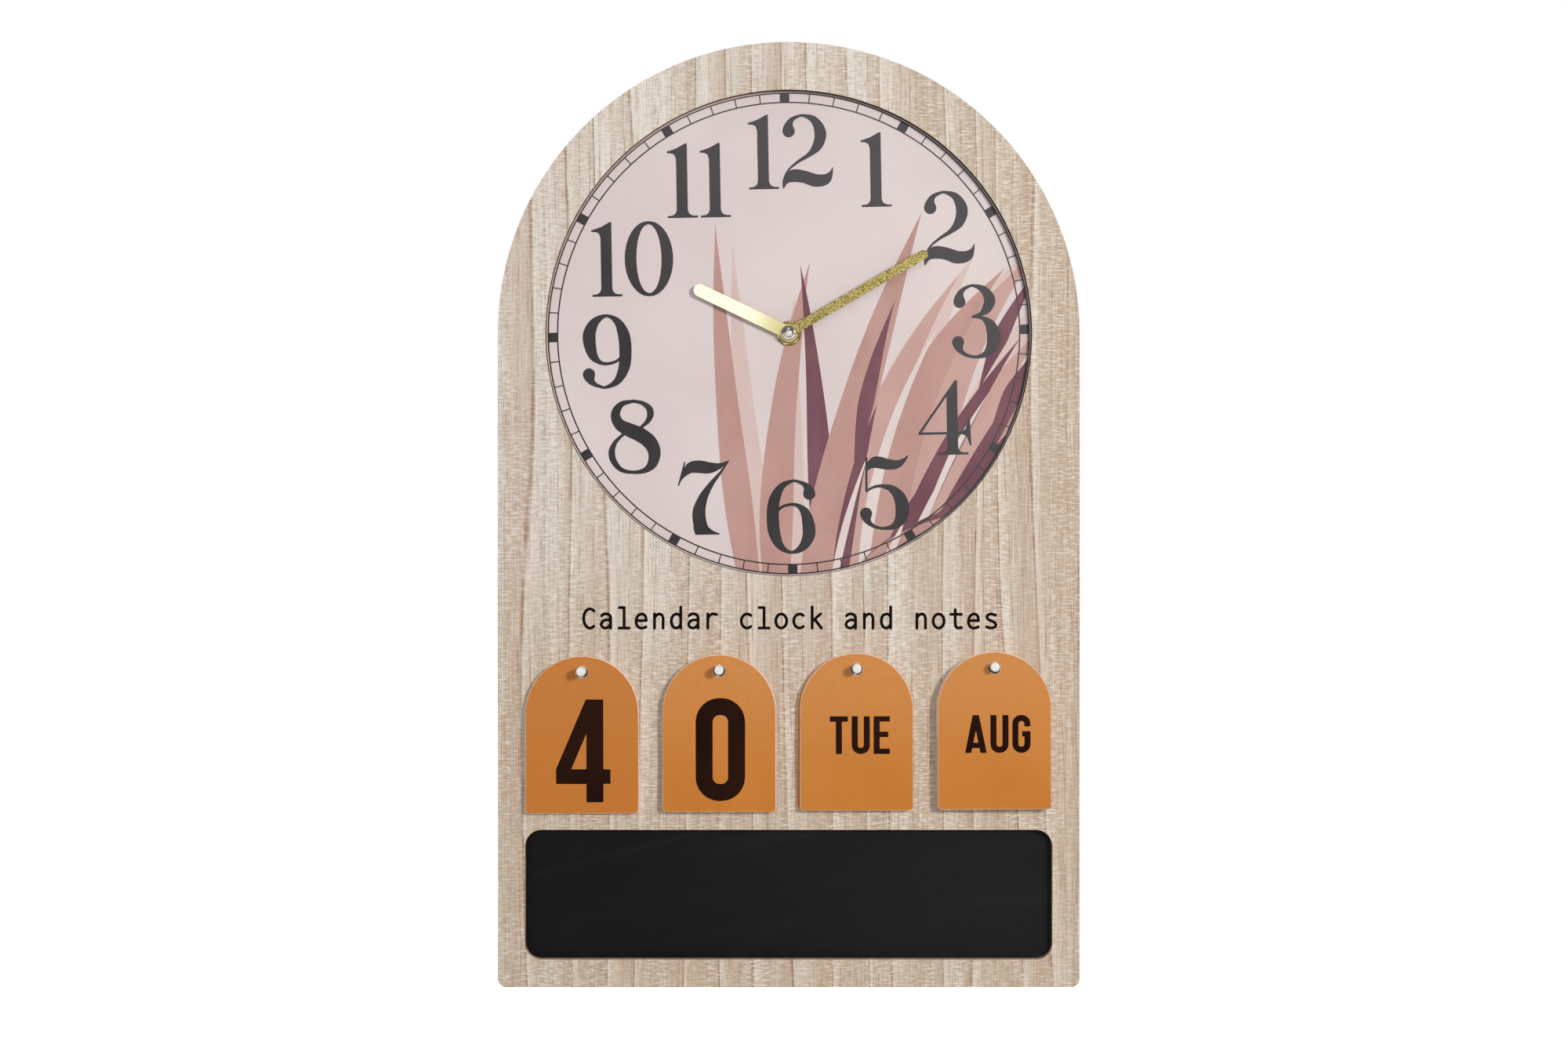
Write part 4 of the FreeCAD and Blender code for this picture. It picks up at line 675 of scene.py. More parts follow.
def veneer():
    """Pale ribbon-figured wood: grain along Z, thin growth lines, fine fibres and a cross ripple."""
    look = Look("pale_wood_veneer", Specular_IOR_Level=0.25)

    def grain(across, along, detail=2.0, roughness=0.5):
        return look.noise(look.stretched(across, across, along), detail, roughness)

    def growth(pitch, sway, along):
        """Share of the way from one growth line to the next; the lines wander sideways by sway."""
        drift = look.maths("MULTIPLY", look.maths("SUBTRACT", grain(24, along, 1.0), 0.5), sway)
        return look.maths("DIVIDE", look.maths("ADD", look.along("X"), drift), pitch)

    def thin_line(phase, width):
        """1 on a growth line, 0 beyond a share of the pitch from it."""
        return look.fade(look.maths("PINGPONG", phase, 0.5), 0.0, width, 1.0, 0.0)

    # Darker, warmer wood below the dial and towards the right, where the darkening is painted shade.
    rightward = look.fade(look.along("X"), -0.02, 0.155, 0.0, 0.85)
    downward = look.fade(look.along("Z"), -0.25, -0.12, 0.85, 0.0)
    warmth_and_shade = look.maths("MAXIMUM", rightward, downward)

    bands = grain(48, 0.9)
    shades = grain(210, 1.6)
    fibres = grain(2300, 30, 3.0, 0.7)
    dashes = grain(330, 60, 2.0, 0.6)
    pores = grain(1900, 260, 1.0)
    ripple = look.noise(look.stretched(210, 210, 1100), 2.0, 0.6, 0.3)
    ribbons = grain(75, 5, 1.0)
    rings = growth(pitch=0.019, sway=0.055, along=1.6)
    fine_rings = growth(pitch=0.0063, sway=0.022, along=2.6)
    since_ring = look.maths("FRACT", rings)

    tone = look.mixed(look.fade(bands, 0.38, 0.62), (206, 191, 176), (230, 221, 211))
    tone = look.mixed(warmth_and_shade, tone, (188, 164, 135))
    tone = look.mixed(look.fade(shades, 0.34, 0.5, 0.24, 0.0), tone, (232, 225, 217))
    tone = look.mixed(look.fade(shades, 0.5, 0.68, 0.0, 0.26), tone, (178, 155, 134))
    # Pale wood just after each growth line, darker wood just before the next.
    tone = look.mixed(look.fade(since_ring, 0.3, 1.0, 0.0, 0.5), tone, (186, 160, 135))
    tone = look.mixed(look.fade(since_ring, 0.04, 0.34, 0.55, 0.0), tone, (231, 222, 211))
    strong = look.maths("MULTIPLY", thin_line(rings, 0.052), look.fade(dashes, 0.34, 0.58, 0.5, 1.0))
    faint = look.maths("MULTIPLY", thin_line(fine_rings, 0.07), look.fade(dashes, 0.42, 0.62, 0.1, 0.7))
    lines = look.maths("MAXIMUM", strong, faint)
    tone = look.mixed(lines, tone, (152, 110, 70))
    tone = look.mixed(look.fade(fibres, 0.5, 0.64, 0.0, 0.46), tone, (163, 139, 116))
    tone = look.mixed(look.fade(fibres, 0.36, 0.5, 0.42, 0.0), tone, (241, 235, 228))
    holes = look.fade(pores, 0.62, 0.72, 0.0, 0.4)
    tone = look.mixed(holes, tone, (150, 122, 98))
    figured = look.fade(ribbons, 0.36, 0.62, 0.4, 1.0)
    crest = look.maths("MULTIPLY", look.fade(ripple, 0.46, 0.66, 0.0, 0.55), figured)
    trough = look.maths("MULTIPLY", look.fade(ripple, 0.34, 0.5, 0.36, 0.0), figured)
    tone = look.mixed(crest, tone, (240, 233, 226))
    tone = look.mixed(trough, tone, (176, 152, 130))
    look.colour(tone)
    look.roughness(fibres, 0.55, 0.78)
    sunk = look.maths("ADD", holes, look.maths("MULTIPLY", lines, 0.5))
    look.bump(look.maths("SUBTRACT", look.maths("MULTIPLY", fibres, 0.6), sunk), 0.12, 0.6)
    return look.material


HAND_AXIS = (AXIS_X * MM, AXIS_Z * MM)
WALL_SHADE_FADE = (0.1262, 0.1275)      # metres from the hand axis, from all of the painted wall shade to none


def fibreboard(name, painted_wall_shade=False):
    """Pressed wood fibres: fine dark specks, pale curls, and layers that show on the cut edges.

    The wall of the dial's opening can carry painted shade, slight on the left, deep on the right.
    """
    look = Look(name, Specular_IOR_Level=0.25)
    specks = look.speckle(900, 4.0, 0.7)
    curls = look.noise(look.stretched(260, 900, 520, turn=35), 3.0, 0.65, 1.2)
    clouds = look.speckle(45, 3.0, 0.6)
    layers = look.noise(look.stretched(8, 1500, 8), 1.0)
    tone = look.mixed(look.fade(clouds, 0.3, 0.7), (181, 145, 115), (188, 152, 122))
    tone = look.mixed(look.fade(specks, 0.52, 0.64, 0.0, 0.55), tone, (140, 102, 76))
    tone = look.mixed(look.fade(curls, 0.56, 0.7, 0.0, 0.5), tone, (216, 187, 158))
    tone = look.mixed(look.fade(layers, 0.5, 0.7, 0.0, 0.25), tone, (150, 112, 84))
    if painted_wall_shade:
        # Painted shade on the wall of the opening, deepening towards the right, away from the key light.
        wall = look.fade(look.away(HAND_AXIS), *WALL_SHADE_FADE, 1.0, 0.0)
        rightward = look.fade(look.along("X"), -0.13, 0.1, 0.35, 0.96)
        tone = look.mixed(look.maths("MULTIPLY", wall, rightward), tone, (30, 20, 15))
    return look.finished(tone, specks, (0.72, 0.92), 0.08, 0.5)


def dial_sheet():
    look = Look("printed_dial_sheet", Specular_IOR_Level=0.3)
    clouds = look.speckle(16, 2.0)
    tooth = look.speckle(2400, 2.0)
    tone = look.mixed(look.fade(clouds, 0.3, 0.7), (217, 202, 201), (223, 209, 207))
    tone = look.mixed(look.fade(tooth, 0.4, 0.8, 0.0, 0.1), tone, (202, 186, 185))
    return look.finished(tone, tooth, (0.42, 0.58), 0.01, 0.5)


def ink(name, dark, light, low=0.4, high=0.6, gloss=0.12, painted_sheen=None):
    """Print whose tone wanders between two colours, with a painted sheen towards a third at the upper
    right.
    """
    look = Look(name, Specular_IOR_Level=gloss)
    clouds = look.noise(look.stretched(55, 55, 30), 3.0)
    tooth = look.speckle(2400, 2.0)
    tone = look.mixed(look.fade(clouds, 0.3, 0.7), dark, light)
    tone = look.mixed(look.fade(tooth, 0.5, 0.8, 0.0, 0.3), tone, light)
    if painted_sheen:
        # Painted sheen: lighter towards the upper right, where the light falls.
        diagonal = look.maths("ADD", look.along("X"), look.along("Z"))
        tone = look.mixed(look.fade(diagonal, -0.17, 0.09), tone, painted_sheen)
    return look.finished(tone, tooth, (low, high), 0.008, 0.5)


def chalkboard():
    look = Look("chalkboard_paint", Specular_IOR_Level=0.1)
    wipes = look.noise(look.stretched(7, 7, 60, turn=14), 3.0, 0.6, 0.6)
    dust = look.speckle(900, 3.0, 0.7)
    haze = look.noise(look.stretched(9, 9, 14), 2.0)
    tone = look.mixed(look.fade(haze, 0.3, 0.75), (6, 6, 7), (11, 11, 12))
    # Painted sheen: the paint is lighter towards the right, where the light comes from.
    tone = look.mixed(look.fade(look.along("X"), -0.1, 0.12, 0.0, 0.8), tone, (24, 24, 25))
    tone = look.mixed(look.fade(wipes, 0.5, 0.8, 0.0, 0.12), tone, (58, 58, 59))
    speck = look.maths("MULTIPLY", look.fade(dust, 0.62, 0.78), look.fade(haze, 0.4, 0.7, 0.05, 0.35))
    return look.finished(look.mixed(speck, tone, (96, 97, 98)), dust, (0.55, 0.8), 0.03, 0.6)


def card_board():
    """Orange printed faces and pale rims made paler as a painted highlight; darker towards a card's
    bottom, and on the tens cards.
    """
    look = Look("orange_card", Specular_IOR_Level=0.22)
    low, high = span("month_card_1")
    fall = look.fade(look.along("Z"), low.z * MM, high.z * MM)
    clouds = look.noise(look.stretched(30, 30, 22), 2.0)
    mottle = look.speckle(500, 3.0, 0.6)
    tooth = look.speckle(2600, 1.0)
    face = look.mixed(fall, (194, 116, 29), (204, 134, 68))
    face = look.mixed(look.fade(clouds, 0.35, 0.7, 0.0, 0.45), face, (205, 130, 52))
    face = look.mixed(look.fade(mottle, 0.5, 0.75, 0.0, 0.25), face, (182, 108, 34))
    tens = look.fade(look.along("X"), -0.08, -0.06, 0.6, 0.0)
    face = look.mixed(tens, face, (190, 112, 36))
    # The pale core of the rims is made paler still as a painted highlight of light catching the edges.
    rim_and_highlight = look.mixed(look.fade(mottle, 0.4, 0.7), (244, 221, 206), (222, 184, 160))
    normal = look.tree.nodes[look.source.node.name].outputs["Normal"]
    facing = look.maths("ABSOLUTE", look.node("SeparateXYZ", {0: normal}).outputs["Y"])
    look.colour(look.mixed(look.fade(facing, 0.93, 0.995), rim_and_highlight, face))
    look.roughness(mottle, 0.42, 0.6)
    look.bump(tooth, 0.012, 0.5)
    return look.material


def white_paint():
    look = Look("white_painted_wood", Coat_Weight=0.1, Coat_Roughness=0.4)
    grain_lines = look.noise(look.stretched(900, 60, 900), 3.0)
    marks = look.speckle(260, 3.0, 0.65)
    tone = look.mixed(look.fade(grain_lines, 0.4, 0.7), (236, 233, 228), (222, 217, 210))
    return look.finished(look.mixed(look.fade(marks, 0.62, 0.8, 0.0, 0.5), tone, (186, 168, 150)),
                         grain_lines, (0.4, 0.65), 0.05, 0.6)


def brushed(name, dark, light, turn=0.0, low=0.2, high=0.42, lines_at=(4200, 40), spread=0.18,
            eye_shade=None, ring=None):
    """Metal brushed along Z of the turned frame; turn lays the lines along a hand.

    lines_at is the scale of the lines across and along them, spread is smaller for harder lines,
    eye_shade is a painted shade, a darker tone next to the hand axis that leaves the tip looking lit,
    and ring is the radius in metres of a dark turned line round that axis.
    """
    look = Look(name, Metallic=1.0, Anisotropic=0.35)
    across, along = lines_at
    lines = look.noise(look.stretched(across, across, along, turn), 3.0, 0.65)
    wear = look.noise(look.stretched(260, 260, 90, turn), 3.0)
    tone = look.mixed(look.fade(lines, 0.5 - spread, 0.5 + spread), dark, light)
    tone = look.mixed(look.fade(wear, 0.52, 0.75, 0.0, 0.35), tone, dark)
    if eye_shade:
        # Painted shade: darker next to the hand axis, so the tip looks lit.
        axis = (AXIS_X * MM, DIAL_FACE * MM, AXIS_Z * MM)
        away = look.node("VectorMath", {0: look.source, 1: axis}, operation="DISTANCE").outputs["Value"]
        tone = look.mixed(look.fade(away, 0.005, 0.026, 1.0, 0.0), tone, eye_shade)
    if ring:
        beside = look.maths("ABSOLUTE", look.maths("SUBTRACT", look.away(HAND_AXIS), ring))
        tone = look.mixed(look.fade(beside, 0.0002, 0.0006, 0.85, 0.0), tone, (48, 36, 14))
    return look.finished(tone, lines, (low, high), 0.012, 0.5)


def moulded(name, dark, light, low, high, relief=0.02, grain=1500, **settings):
    """Moulded plastic, rubber or ferrite with a fine surface texture."""
    look = Look(name, **settings)
    texture = look.noise(look.stretched(grain, grain, grain), 3.0, 0.6)
    flow = look.speckle(60, 3.0, 0.5, 1.0)
    tone = look.mixed(look.fade(flow, 0.3, 0.7), dark, light)
    return look.finished(look.mixed(look.fade(texture, 0.55, 0.8, 0.0, 0.15), tone, light),
                         texture, (low, high), relief, 0.6)


def winding():
    """Enamelled wire in close turns round the X axis."""
    look = Look("enamelled_copper_wire", Metallic=0.9, Coat_Weight=0.5, Coat_Roughness=0.15)
    bands = {"Vector": look.stretched(2600, 0, 0), "Scale": 1.0, "Distortion": 0.6}
    turns = look.node("TexWave", bands, wave_type="BANDS", bands_direction="X").outputs["Fac"]
    wander = look.speckle(300, 2.0)
    tone = look.mixed(look.fade(wander, 0.35, 0.65), (178, 92, 52), (204, 122, 72))
    # Painted shade: darker in the grooves between the turns.
    return look.finished(look.mixed(look.fade(turns, 0.0, 0.45, 0.7, 0.0), tone, (92, 40, 22)),
                         turns, (0.45, 0.22), 0.12, 0.9)


def circuit():
    look = Look("solder_mask", Coat_Weight=0.4, Coat_Roughness=0.12)
    squares = {"Vector": look.stretched(2200, 2200, 2200), "Scale": 1.0}
    weave = look.node("TexChecker", squares).outputs["Fac"]
    clouds = look.speckle(180, 2.0)
    tone = look.mixed(look.fade(clouds, 0.4, 0.6), (28, 92, 52), (40, 112, 66))
    look.colour(look.mixed(look.maths("MULTIPLY", weave, 0.12), tone, (96, 150, 104)))
    look.roughness(clouds, 0.3, 0.45)
    look.bump(weave, 0.01, 0.4)
    return look.material


def cell_sleeve():
    """A dry cell: dark sleeve, a copper-coloured end band, bare steel at both ends."""
    look = Look("dry_cell_sleeve", Coat_Weight=0.5, Coat_Roughness=0.12)
    low, high = span("battery")
    x = look.along("X")
    cap, rear_rim, band_end, edge = 1.5, 0.5, 14.0, 0.1     # millimetres from the cell's ends
    scuffs = look.noise(look.stretched(90, 900, 900), 3.0, 0.65)
    bare = look.fade(x, (high.x - cap - edge) * MM, (high.x - cap) * MM)
    bare_rear = look.fade(x, (low.x + rear_rim) * MM, (low.x + rear_rim + edge) * MM, 1.0, 0.0)
    bare = look.maths("MAXIMUM", bare, bare_rear)
    band = look.fade(x, (high.x - band_end - edge) * MM, (high.x - band_end) * MM)
    tone = look.mixed(band, (30, 31, 34), (178, 112, 62))
    tone = look.mixed(look.fade(scuffs, 0.6, 0.8, 0.0, 0.3), tone, (120, 118, 116))
    look.colour(look.mixed(bare, tone, (188, 188, 190)))
    look.tree.links.new(look.maths("MAXIMUM", bare, look.maths("MULTIPLY", band, 0.6)),
                        look.shader.inputs["Metallic"])
    look.roughness(scuffs, 0.22, 0.42)
    look.bump(scuffs, 0.015, 0.5)
    return look.material


def repaint(material, *nodes):
    """Gives CAD nodes their material."""
    for node in nodes:
        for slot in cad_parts[node].material_slots:
            slot.material = material


HOUR_ANGLE, MINUTE_ANGLE = 295.6, 59.9      # degrees clockwise from 12


def dress_nodes():
    """A material for every CAD node."""
    cards = [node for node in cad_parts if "_card_" in node]
    repaint(veneer(), "wood_veneer")
    repaint(fibreboard("cut_fibreboard", painted_wall_shade=True), "front_panel")
    repaint(fibreboard("raw_fibreboard"), "back_panel")
    repaint(dial_sheet(), "dial")
    repaint(chalkboard(), "chalkboard")
    repaint(card_board(), *cards)
    repaint(white_paint(), "card_pegs")
    hour_brass = brushed("brushed_brass_pale", (198, 192, 160), (222, 217, 196), -HOUR_ANGLE,
                         0.22, 0.36, eye_shade=(170, 162, 116))
    minute_brass = brushed("brushed_brass_dark", (68, 58, 17), (154, 141, 90), -MINUTE_ANGLE,
                           0.3, 0.5, lines_at=(2600, 900), spread=0.15)
    repaint(hour_brass, "hour_hand")
    repaint(minute_brass, "minute_hand")
    repaint(brushed("turned_brass", (158, 142, 90), (214, 202, 150), ring=0.005),
            "hex_nut", "minute_pipe")
    repaint(brushed("shaded_brass", (66, 50, 24), (112, 94, 54)), "brass_washer")
    repaint(brushed("zinc_plated_sheet", (150, 152, 156), (190, 192, 196), low=0.28, high=0.5),
            "hanger", "stator", "contact_positive", "contact_negative")
    repaint(brushed("polished_nickel", (205, 205, 204), (226, 226, 224), low=0.08, high=0.18),
            "quartz_crystal")
    repaint(brushed("dark_nickel", (146, 143, 137), (186, 183, 177), low=0.12, high=0.22),
            "cap_nut")
    repaint(moulded("black_foam_rubber", (24, 24, 25), (38, 38, 40), 0.75, 0.95, 0.12, 700),
            "wall_bumpers", "rubber_washer")
    repaint(moulded("black_case_plastic", (22, 22, 24), (33, 33, 36), 0.38, 0.6, 0.03, 1300),
            "movement_case", "rear_cover")
    repaint(moulded("natural_frame_plastic", (205, 202, 192), (222, 219, 210), 0.4, 0.6,
                    Subsurface_Weight=0.1),
            "middle_plate", "train_bridge", "coil_bobbin")
    wheels = moulded("white_acetal", (218, 216, 208), (232, 230, 223), 0.28, 0.42, 0.01)
    repaint(wheels, "motion_wheel", "hour_wheel", "setting_knob", "centre_wheel", "third_wheel",
            "seconds_wheel", "fifth_wheel", "rotor_pinion")
    repaint(moulded("sintered_ferrite", (38, 38, 40), (60, 60, 62), 0.45, 0.7, 0.03, 2400),
            "rotor_magnet")
    repaint(winding(), "coil_winding")
    repaint(circuit(), "circuit_board")
    repaint(cell_sleeve(), "battery")


# ---- Dial print ----
PRINT_RADIUS = 124.8        # edge of the print
OUTER_LINE = 124.3          # middle of the outer ring line
INNER_LINE = 119.5          # middle of the inner ring line
RING_WEIGHT = 0.68
PRINT_TURN = 1.0            # the whole print sits a degree anticlockwise
NUMERAL_HEIGHT = 38.5
NUMERALS = {                # degrees clockwise from 12, and distance of the middle from the axis
    "12": (0.6, 94.1), "1": (28.1, 96.1), "2": (56.6, 99.1), "3": (86.3, 97.4), "4": (118.4, 91.6),
    "5": (148.9, 96.2), "6": (179.3, 94.8), "7": (207.3, 95.5), "8": (236.2, 96.1), "9": (264.3, 94.2),
    "10": (295.5, 89.5), "11": (329.6, 91.8),
}
RING_STEPS = 240
HOUR_MARK, MINUTE_MARK = 2.45, 0.28     # half the widths of the marks across the minute track
STACKED = 0.0025            # each blade's ink, and each layer over the blades, is this much higher


def on_dial(radius, degrees):
    """(x, z) at a distance from the hand axis, in degrees clockwise from 12."""
    angle = math.radians(degrees)
    return (AXIS_X + radius * math.sin(angle), AXIS_Z + radius * math.cos(angle))


def ring(radius, weight):
    """Outer and inner circle of a printed ring."""
    turns = [360 * step / RING_STEPS for step in range(RING_STEPS)]
    return [[on_dial(radius + side * weight / 2, turn) for turn in turns] for side in (1, -1)]


def mark(degrees, low, high, half_width):
    """A bar across the minute track."""
    angle = math.radians(degrees)
    side = (math.cos(angle) * half_width, -math.sin(angle) * half_width)
    (x0, z0), (x1, z1) = on_dial(low, degrees), on_dial(high, degrees)
    return [[(x0 - side[0], z0 - side[1]), (x0 + side[0], z0 + side[1]),
             (x1 + side[0], z1 + side[1]), (x1 - side[0], z1 - side[1])]]


def blade(root, tip, width, bow, swell=0.3, steps=26):
    """A leaf blade from its root to its tip, bowed sideways by a share of its length.

    It is widest at swell, as a share of its length, and its edges waver slightly.
    """
    start, end = np.array(root, float), np.array(tip, float)
    along = end - start
    side = np.array([along[1], -along[0]])
    control = (start + end) / 2 + side * bow
    floating = np.hypot(*start) < PRINT_RADIUS      # one that starts on the dial is pointed there too
    left, right = [], []
    for step in range(steps + 1):
        t = step / steps
        centre = (1 - t)**2 * start + 2 * t * (1 - t) * control + t**2 * end
        heading = (1 - t) * (control - start) + t * (end - control)
        across = np.array([heading[1], -heading[0]]) / np.hypot(*heading)
        taper = (1 - max(0.0, (t - swell) / (1 - swell))**1.7)**1.1
        half = width / 2 * taper * (0.72 + 0.28 * math.sin(math.pi * min(t / swell, 1.0) / 2))
        half *= 1 + 0.05 * math.sin(9 * t + root[0])
        if floating:
            half *= min(1.0, t / 0.4)**0.8
        left.append(centre - across * half)
        right.append(centre + across * half)
    return clipped([tuple(point) for point in left + right[::-1]], PRINT_RADIUS)


def clipped(corners, radius, sides=160):
    """The part of a polygon, given about the axis, that lies within the round print."""
    for index in range(sides):
        angle = math.tau * index / sides
        cos, sin = math.cos(angle), math.sin(angle)
        kept = []
        for (x0, z0), (x1, z1) in zip(corners, corners[1:] + corners[:1]):
            inside0, inside1 = radius - x0 * cos - z0 * sin, radius - x1 * cos - z1 * sin
            if inside0 >= 0:
                kept.append((x0, z0))
            if (inside0 > 0) != (inside1 > 0):
                share = inside0 / (inside0 - inside1)
                kept.append((x0 + share * (x1 - x0), z0 + share * (z1 - z0)))
        corners = kept
        if not corners:
            return []
    return [(AXIS_X + x, AXIS_Z + z) for x, z in corners]


# Blades of the leaf print, back to front: tone, root and tip as (x, z) from the hand axis, width, bow.
BLADES = [
    ("ghost", (-13, -134), (-29, 46), 14, -0.02),
    ("ghost", (2, -134), (3, 20), 16, -0.03),
    ("ghost", (40, -130), (96, 40), 30, -0.14),
    ("ghost", (62, -126), (128, 46), 26, -0.2),
    ("ghost", (84, -112), (134, 24), 26, -0.1),
    ("rose", (-19, -136), (-38, 57), 14, -0.03),
    ("rose", (-6, -136), (11, 37), 17, -0.07),
    ("plum", (17, -130), (6, 36), 12, 0.04),
    ("blush", (60, -134), (130, 44), 27, -0.2),
    ("plum", (98, -30), (131, 36), 8, -0.06),
    ("rose", (44, -136), (112, 34), 25, -0.19),
    ("blush", (30, -136), (88, 30), 19, -0.15),
    ("rose", (13, -138), (69, 63), 22, -0.05),
    ("plum", (34, -74), (55, 17), 8.5, -0.06),
    ("plum", (26, -132), (46, -36), 9, -0.06),
    ("pale", (22, -136), (42, -60), 4, -0.05),
    ("pale", (38, -134), (80, 8), 6, -0.13),
    ("blush", (66, -130), (132, 4), 20, -0.12),
    ("plum", (52, -132), (120, -2), 12, -0.08),
    ("pale", (58, -128), (104, -30), 5, -0.07),
    ("rose", (74, -124), (136, -14), 15, -0.07),
    ("plum", (104, -52), (134, -2), 9, -0.03),
    ("blush", (92, -112), (138, -26), 13, -0.03),
    ("plum", (70, -120), (132, -10), 10, -0.03),
    ("pale", (78, -116), (128, -30), 4.5, -0.04),
    ("blush", (84, -118), (136, -40), 14, -0.06),
    ("plum", (82, -116), (136, -44), 12, 0.02),
    ("rose", (86, -116), (136, -56), 9, 0.02),
    ("plum", (48, -134), (86, -56), 12, -0.06),
    ("pale", (56, -130), (84, -66), 5, -0.03),
    ("plum", (62, -124), (114, -50), 15, 0.05),
    ("plum", (78, -122), (126, -62), 15, 0.03),
    ("rose", (72, -122), (112, -70), 5, 0.03),
    ("blush", (34, -128), (118, -74), 7.5, 0.1),
    ("plum", (30, -132), (104, -84), 10, -0.12),
    ("rose", (36, -122), (102, -92), 5, -0.16),
    ("pale", (44, -130), (60, -96), 5, 0.04),
]


def make_dial_print():
    """Leaf blades, minute track and numerals, each layer of ink on top of the last."""
    charcoal = ink("dial_charcoal_ink", (56, 53, 54), (66, 63, 64), gloss=0.04, painted_sheen=(84, 81, 83))
    tones = {
        "ghost": ink("dial_faded_rose_ink", (214, 189, 182), (219, 195, 188)),
        "blush": ink("dial_blush_ink", (196, 157, 148), (203, 165, 156)),
        "rose": ink("dial_rose_ink", (187, 145, 136), (195, 153, 144)),
        "plum": ink("dial_plum_ink", (112, 72, 82), (126, 85, 94)),
        "pale": ink("dial_pale_ink", (222, 206, 202), (228, 214, 210)),
    }
    for tone, material in tones.items():
        layers = [(INK + index * STACKED, [[blade(*shape)]])
                  for index, (name, *shape) in enumerate(BLADES) if name == tone]
        printed(f"dial_leaves_{tone}", layers, material, "board", DIAL_FACE)

    def marks(minutes, half_width):
        return [mark(6 * minute - PRINT_TURN, INNER_LINE, OUTER_LINE, half_width) for minute in minutes]

    top = INK + len(BLADES) * STACKED
    hours = marks(range(0, 60, 5), HOUR_MARK)
    minutes = marks([minute for minute in range(60) if minute % 5], MINUTE_MARK)
    track = [ring(OUTER_LINE, RING_WEIGHT), ring(INNER_LINE, RING_WEIGHT)]
    layers = [(top, minutes), (top + STACKED, track), (top + 2 * STACKED, hours)]
    printed("dial_minute_track", layers, charcoal, "board", DIAL_FACE)

    face = Face(numeral_shapes(), gap=NUMERAL_GAP, cell=0.007)
    groups = []
    for text, (degrees, radius) in NUMERALS.items():
        groups += face.write(text, NUMERAL_HEIGHT, on_dial(radius, degrees), PRINT_TURN)
    printed("dial_numerals", [(top, groups)], charcoal, "board", DIAL_FACE)


# ---- Lettering on the board and the cards ----
LETTERING = "Calendar clock and notes"
CAPITAL_HEIGHT = 10.8
BASELINE_DROP = 152.7       # hand axis down to the foot of the letters
LETTERING_SHIFT = 0.7       # the middle of the line stands this far right of the hand axis


def make_board_lettering():
    face = Face(pen_shapes(), gap=0.0, cell=0.011)
    centre = (AXIS_X + LETTERING_SHIFT, AXIS_Z - BASELINE_DROP + CAPITAL_HEIGHT / 2)
    groups = face.write(LETTERING, CAPITAL_HEIGHT, centre)
    black = ink("board_black_ink", (13, 7, 5), (21, 13, 10), 0.45, 0.65, gloss=0.02)
    printed("board_lettering", [(INK, groups)], black, "board", BOARD_FACE)


CARD_TILTS = {              # degrees anticlockwise, from the rear card to the front one
    "tens": (0.3, -0.2, 0.1), "units": (-0.2, 0.2, 0.1, 0.0), "weekday": (-0.5, 0.3, -0.1, 0.1),
    "month": (0.4, 0.2, -0.2, 0.2, -0.1, 0.2),
}
CARD_FACES = {              # what the front and the rear of each card says
    "tens": (("0", "1"), ("2", "3"), ("4", "5")),
    "units": (("6", "7"), ("8", "9"), ("2", "3"), ("0", "1")),
    "weekday": (("FRI", "SAT"), ("WED", "THU"), ("SUN", "SUN"), ("TUE", "MON")),
    "month": (("NOV", "DEC"), ("SEP", "OCT"), ("MAY", "JUN"), ("MAR", "APR"), ("JAN", "FEB"),
              ("AUG", "JUL")),
}
CARD_RADIUS = 29.1          # half the card's width, and the radius of its arched top
# Height of the print, and its middle to the right of and above the centre of the card's arch.
DIGIT_PRINT = (52.9, (0.6, -19.5))
WORD_PRINT = (19.4, (1.6, -12.9))


def make_card_print():
    """A digit or a word on both faces of every card."""
    words = Face(block_shapes(weight=0.162), gap=0.1, cell=0.013)
    digits = Face(block_shapes(weight=0.165), gap=0.1, cell=0.007)
    black = ink("card_brown_black_ink", (31, 13, 7), (42, 21, 13), 0.4, 0.55, gloss=0.02)
    for stack, tilts in CARD_TILTS.items():
        for number, (tilt, faces) in enumerate(zip(tilts, CARD_FACES[stack]), start=1):
            card = f"{stack}_card_{number}"
            low, high = span(card)
            # A card that is tilted one way reaches past its arch on that side only.
            x = low.x + CARD_RADIUS if tilt >= 0 else high.x - CARD_RADIUS
            z = high.z - CARD_RADIUS
            for side, text in zip(("front", "rear"), faces):
                rear = side == "rear"
                face, (size, centre) = (digits, DIGIT_PRINT) if text.isdigit() else (words, WORD_PRINT)
                groups = face.write(text, size, centre)
                placed = [[[card_place(point, x, z, tilt, rear) for point in loop] for loop in group]
                          for group in groups]
                printed(f"{card}_{side}_print", [(INK, placed)], black, card,
                        high.y if rear else low.y, rear)


def card_place(point, x, z, tilt, rear):
    """(x, z) on the board of a point of a card's print, which reads from the rear if rear."""
    u, v = point
    if rear:
        u = -u
    cos, sin = math.cos(math.radians(tilt)), math.sin(math.radians(tilt))
    return (x + u * cos - v * sin, z + u * sin + v * cos)


# ---- Marks on the back of the movement ----
ARROW_RADIUS, ARROW_WEIGHT = 7.9, 0.6
ARROW_SWEEP = (35, 145)     # degrees anticlockwise as seen from behind
ARROW_HEAD = 2.6            # length of the head, and the width of its base
SIGN_SIZE = 3.0
SIGN_MARGIN = 2.7           # middle of a sign to the edge of the cover


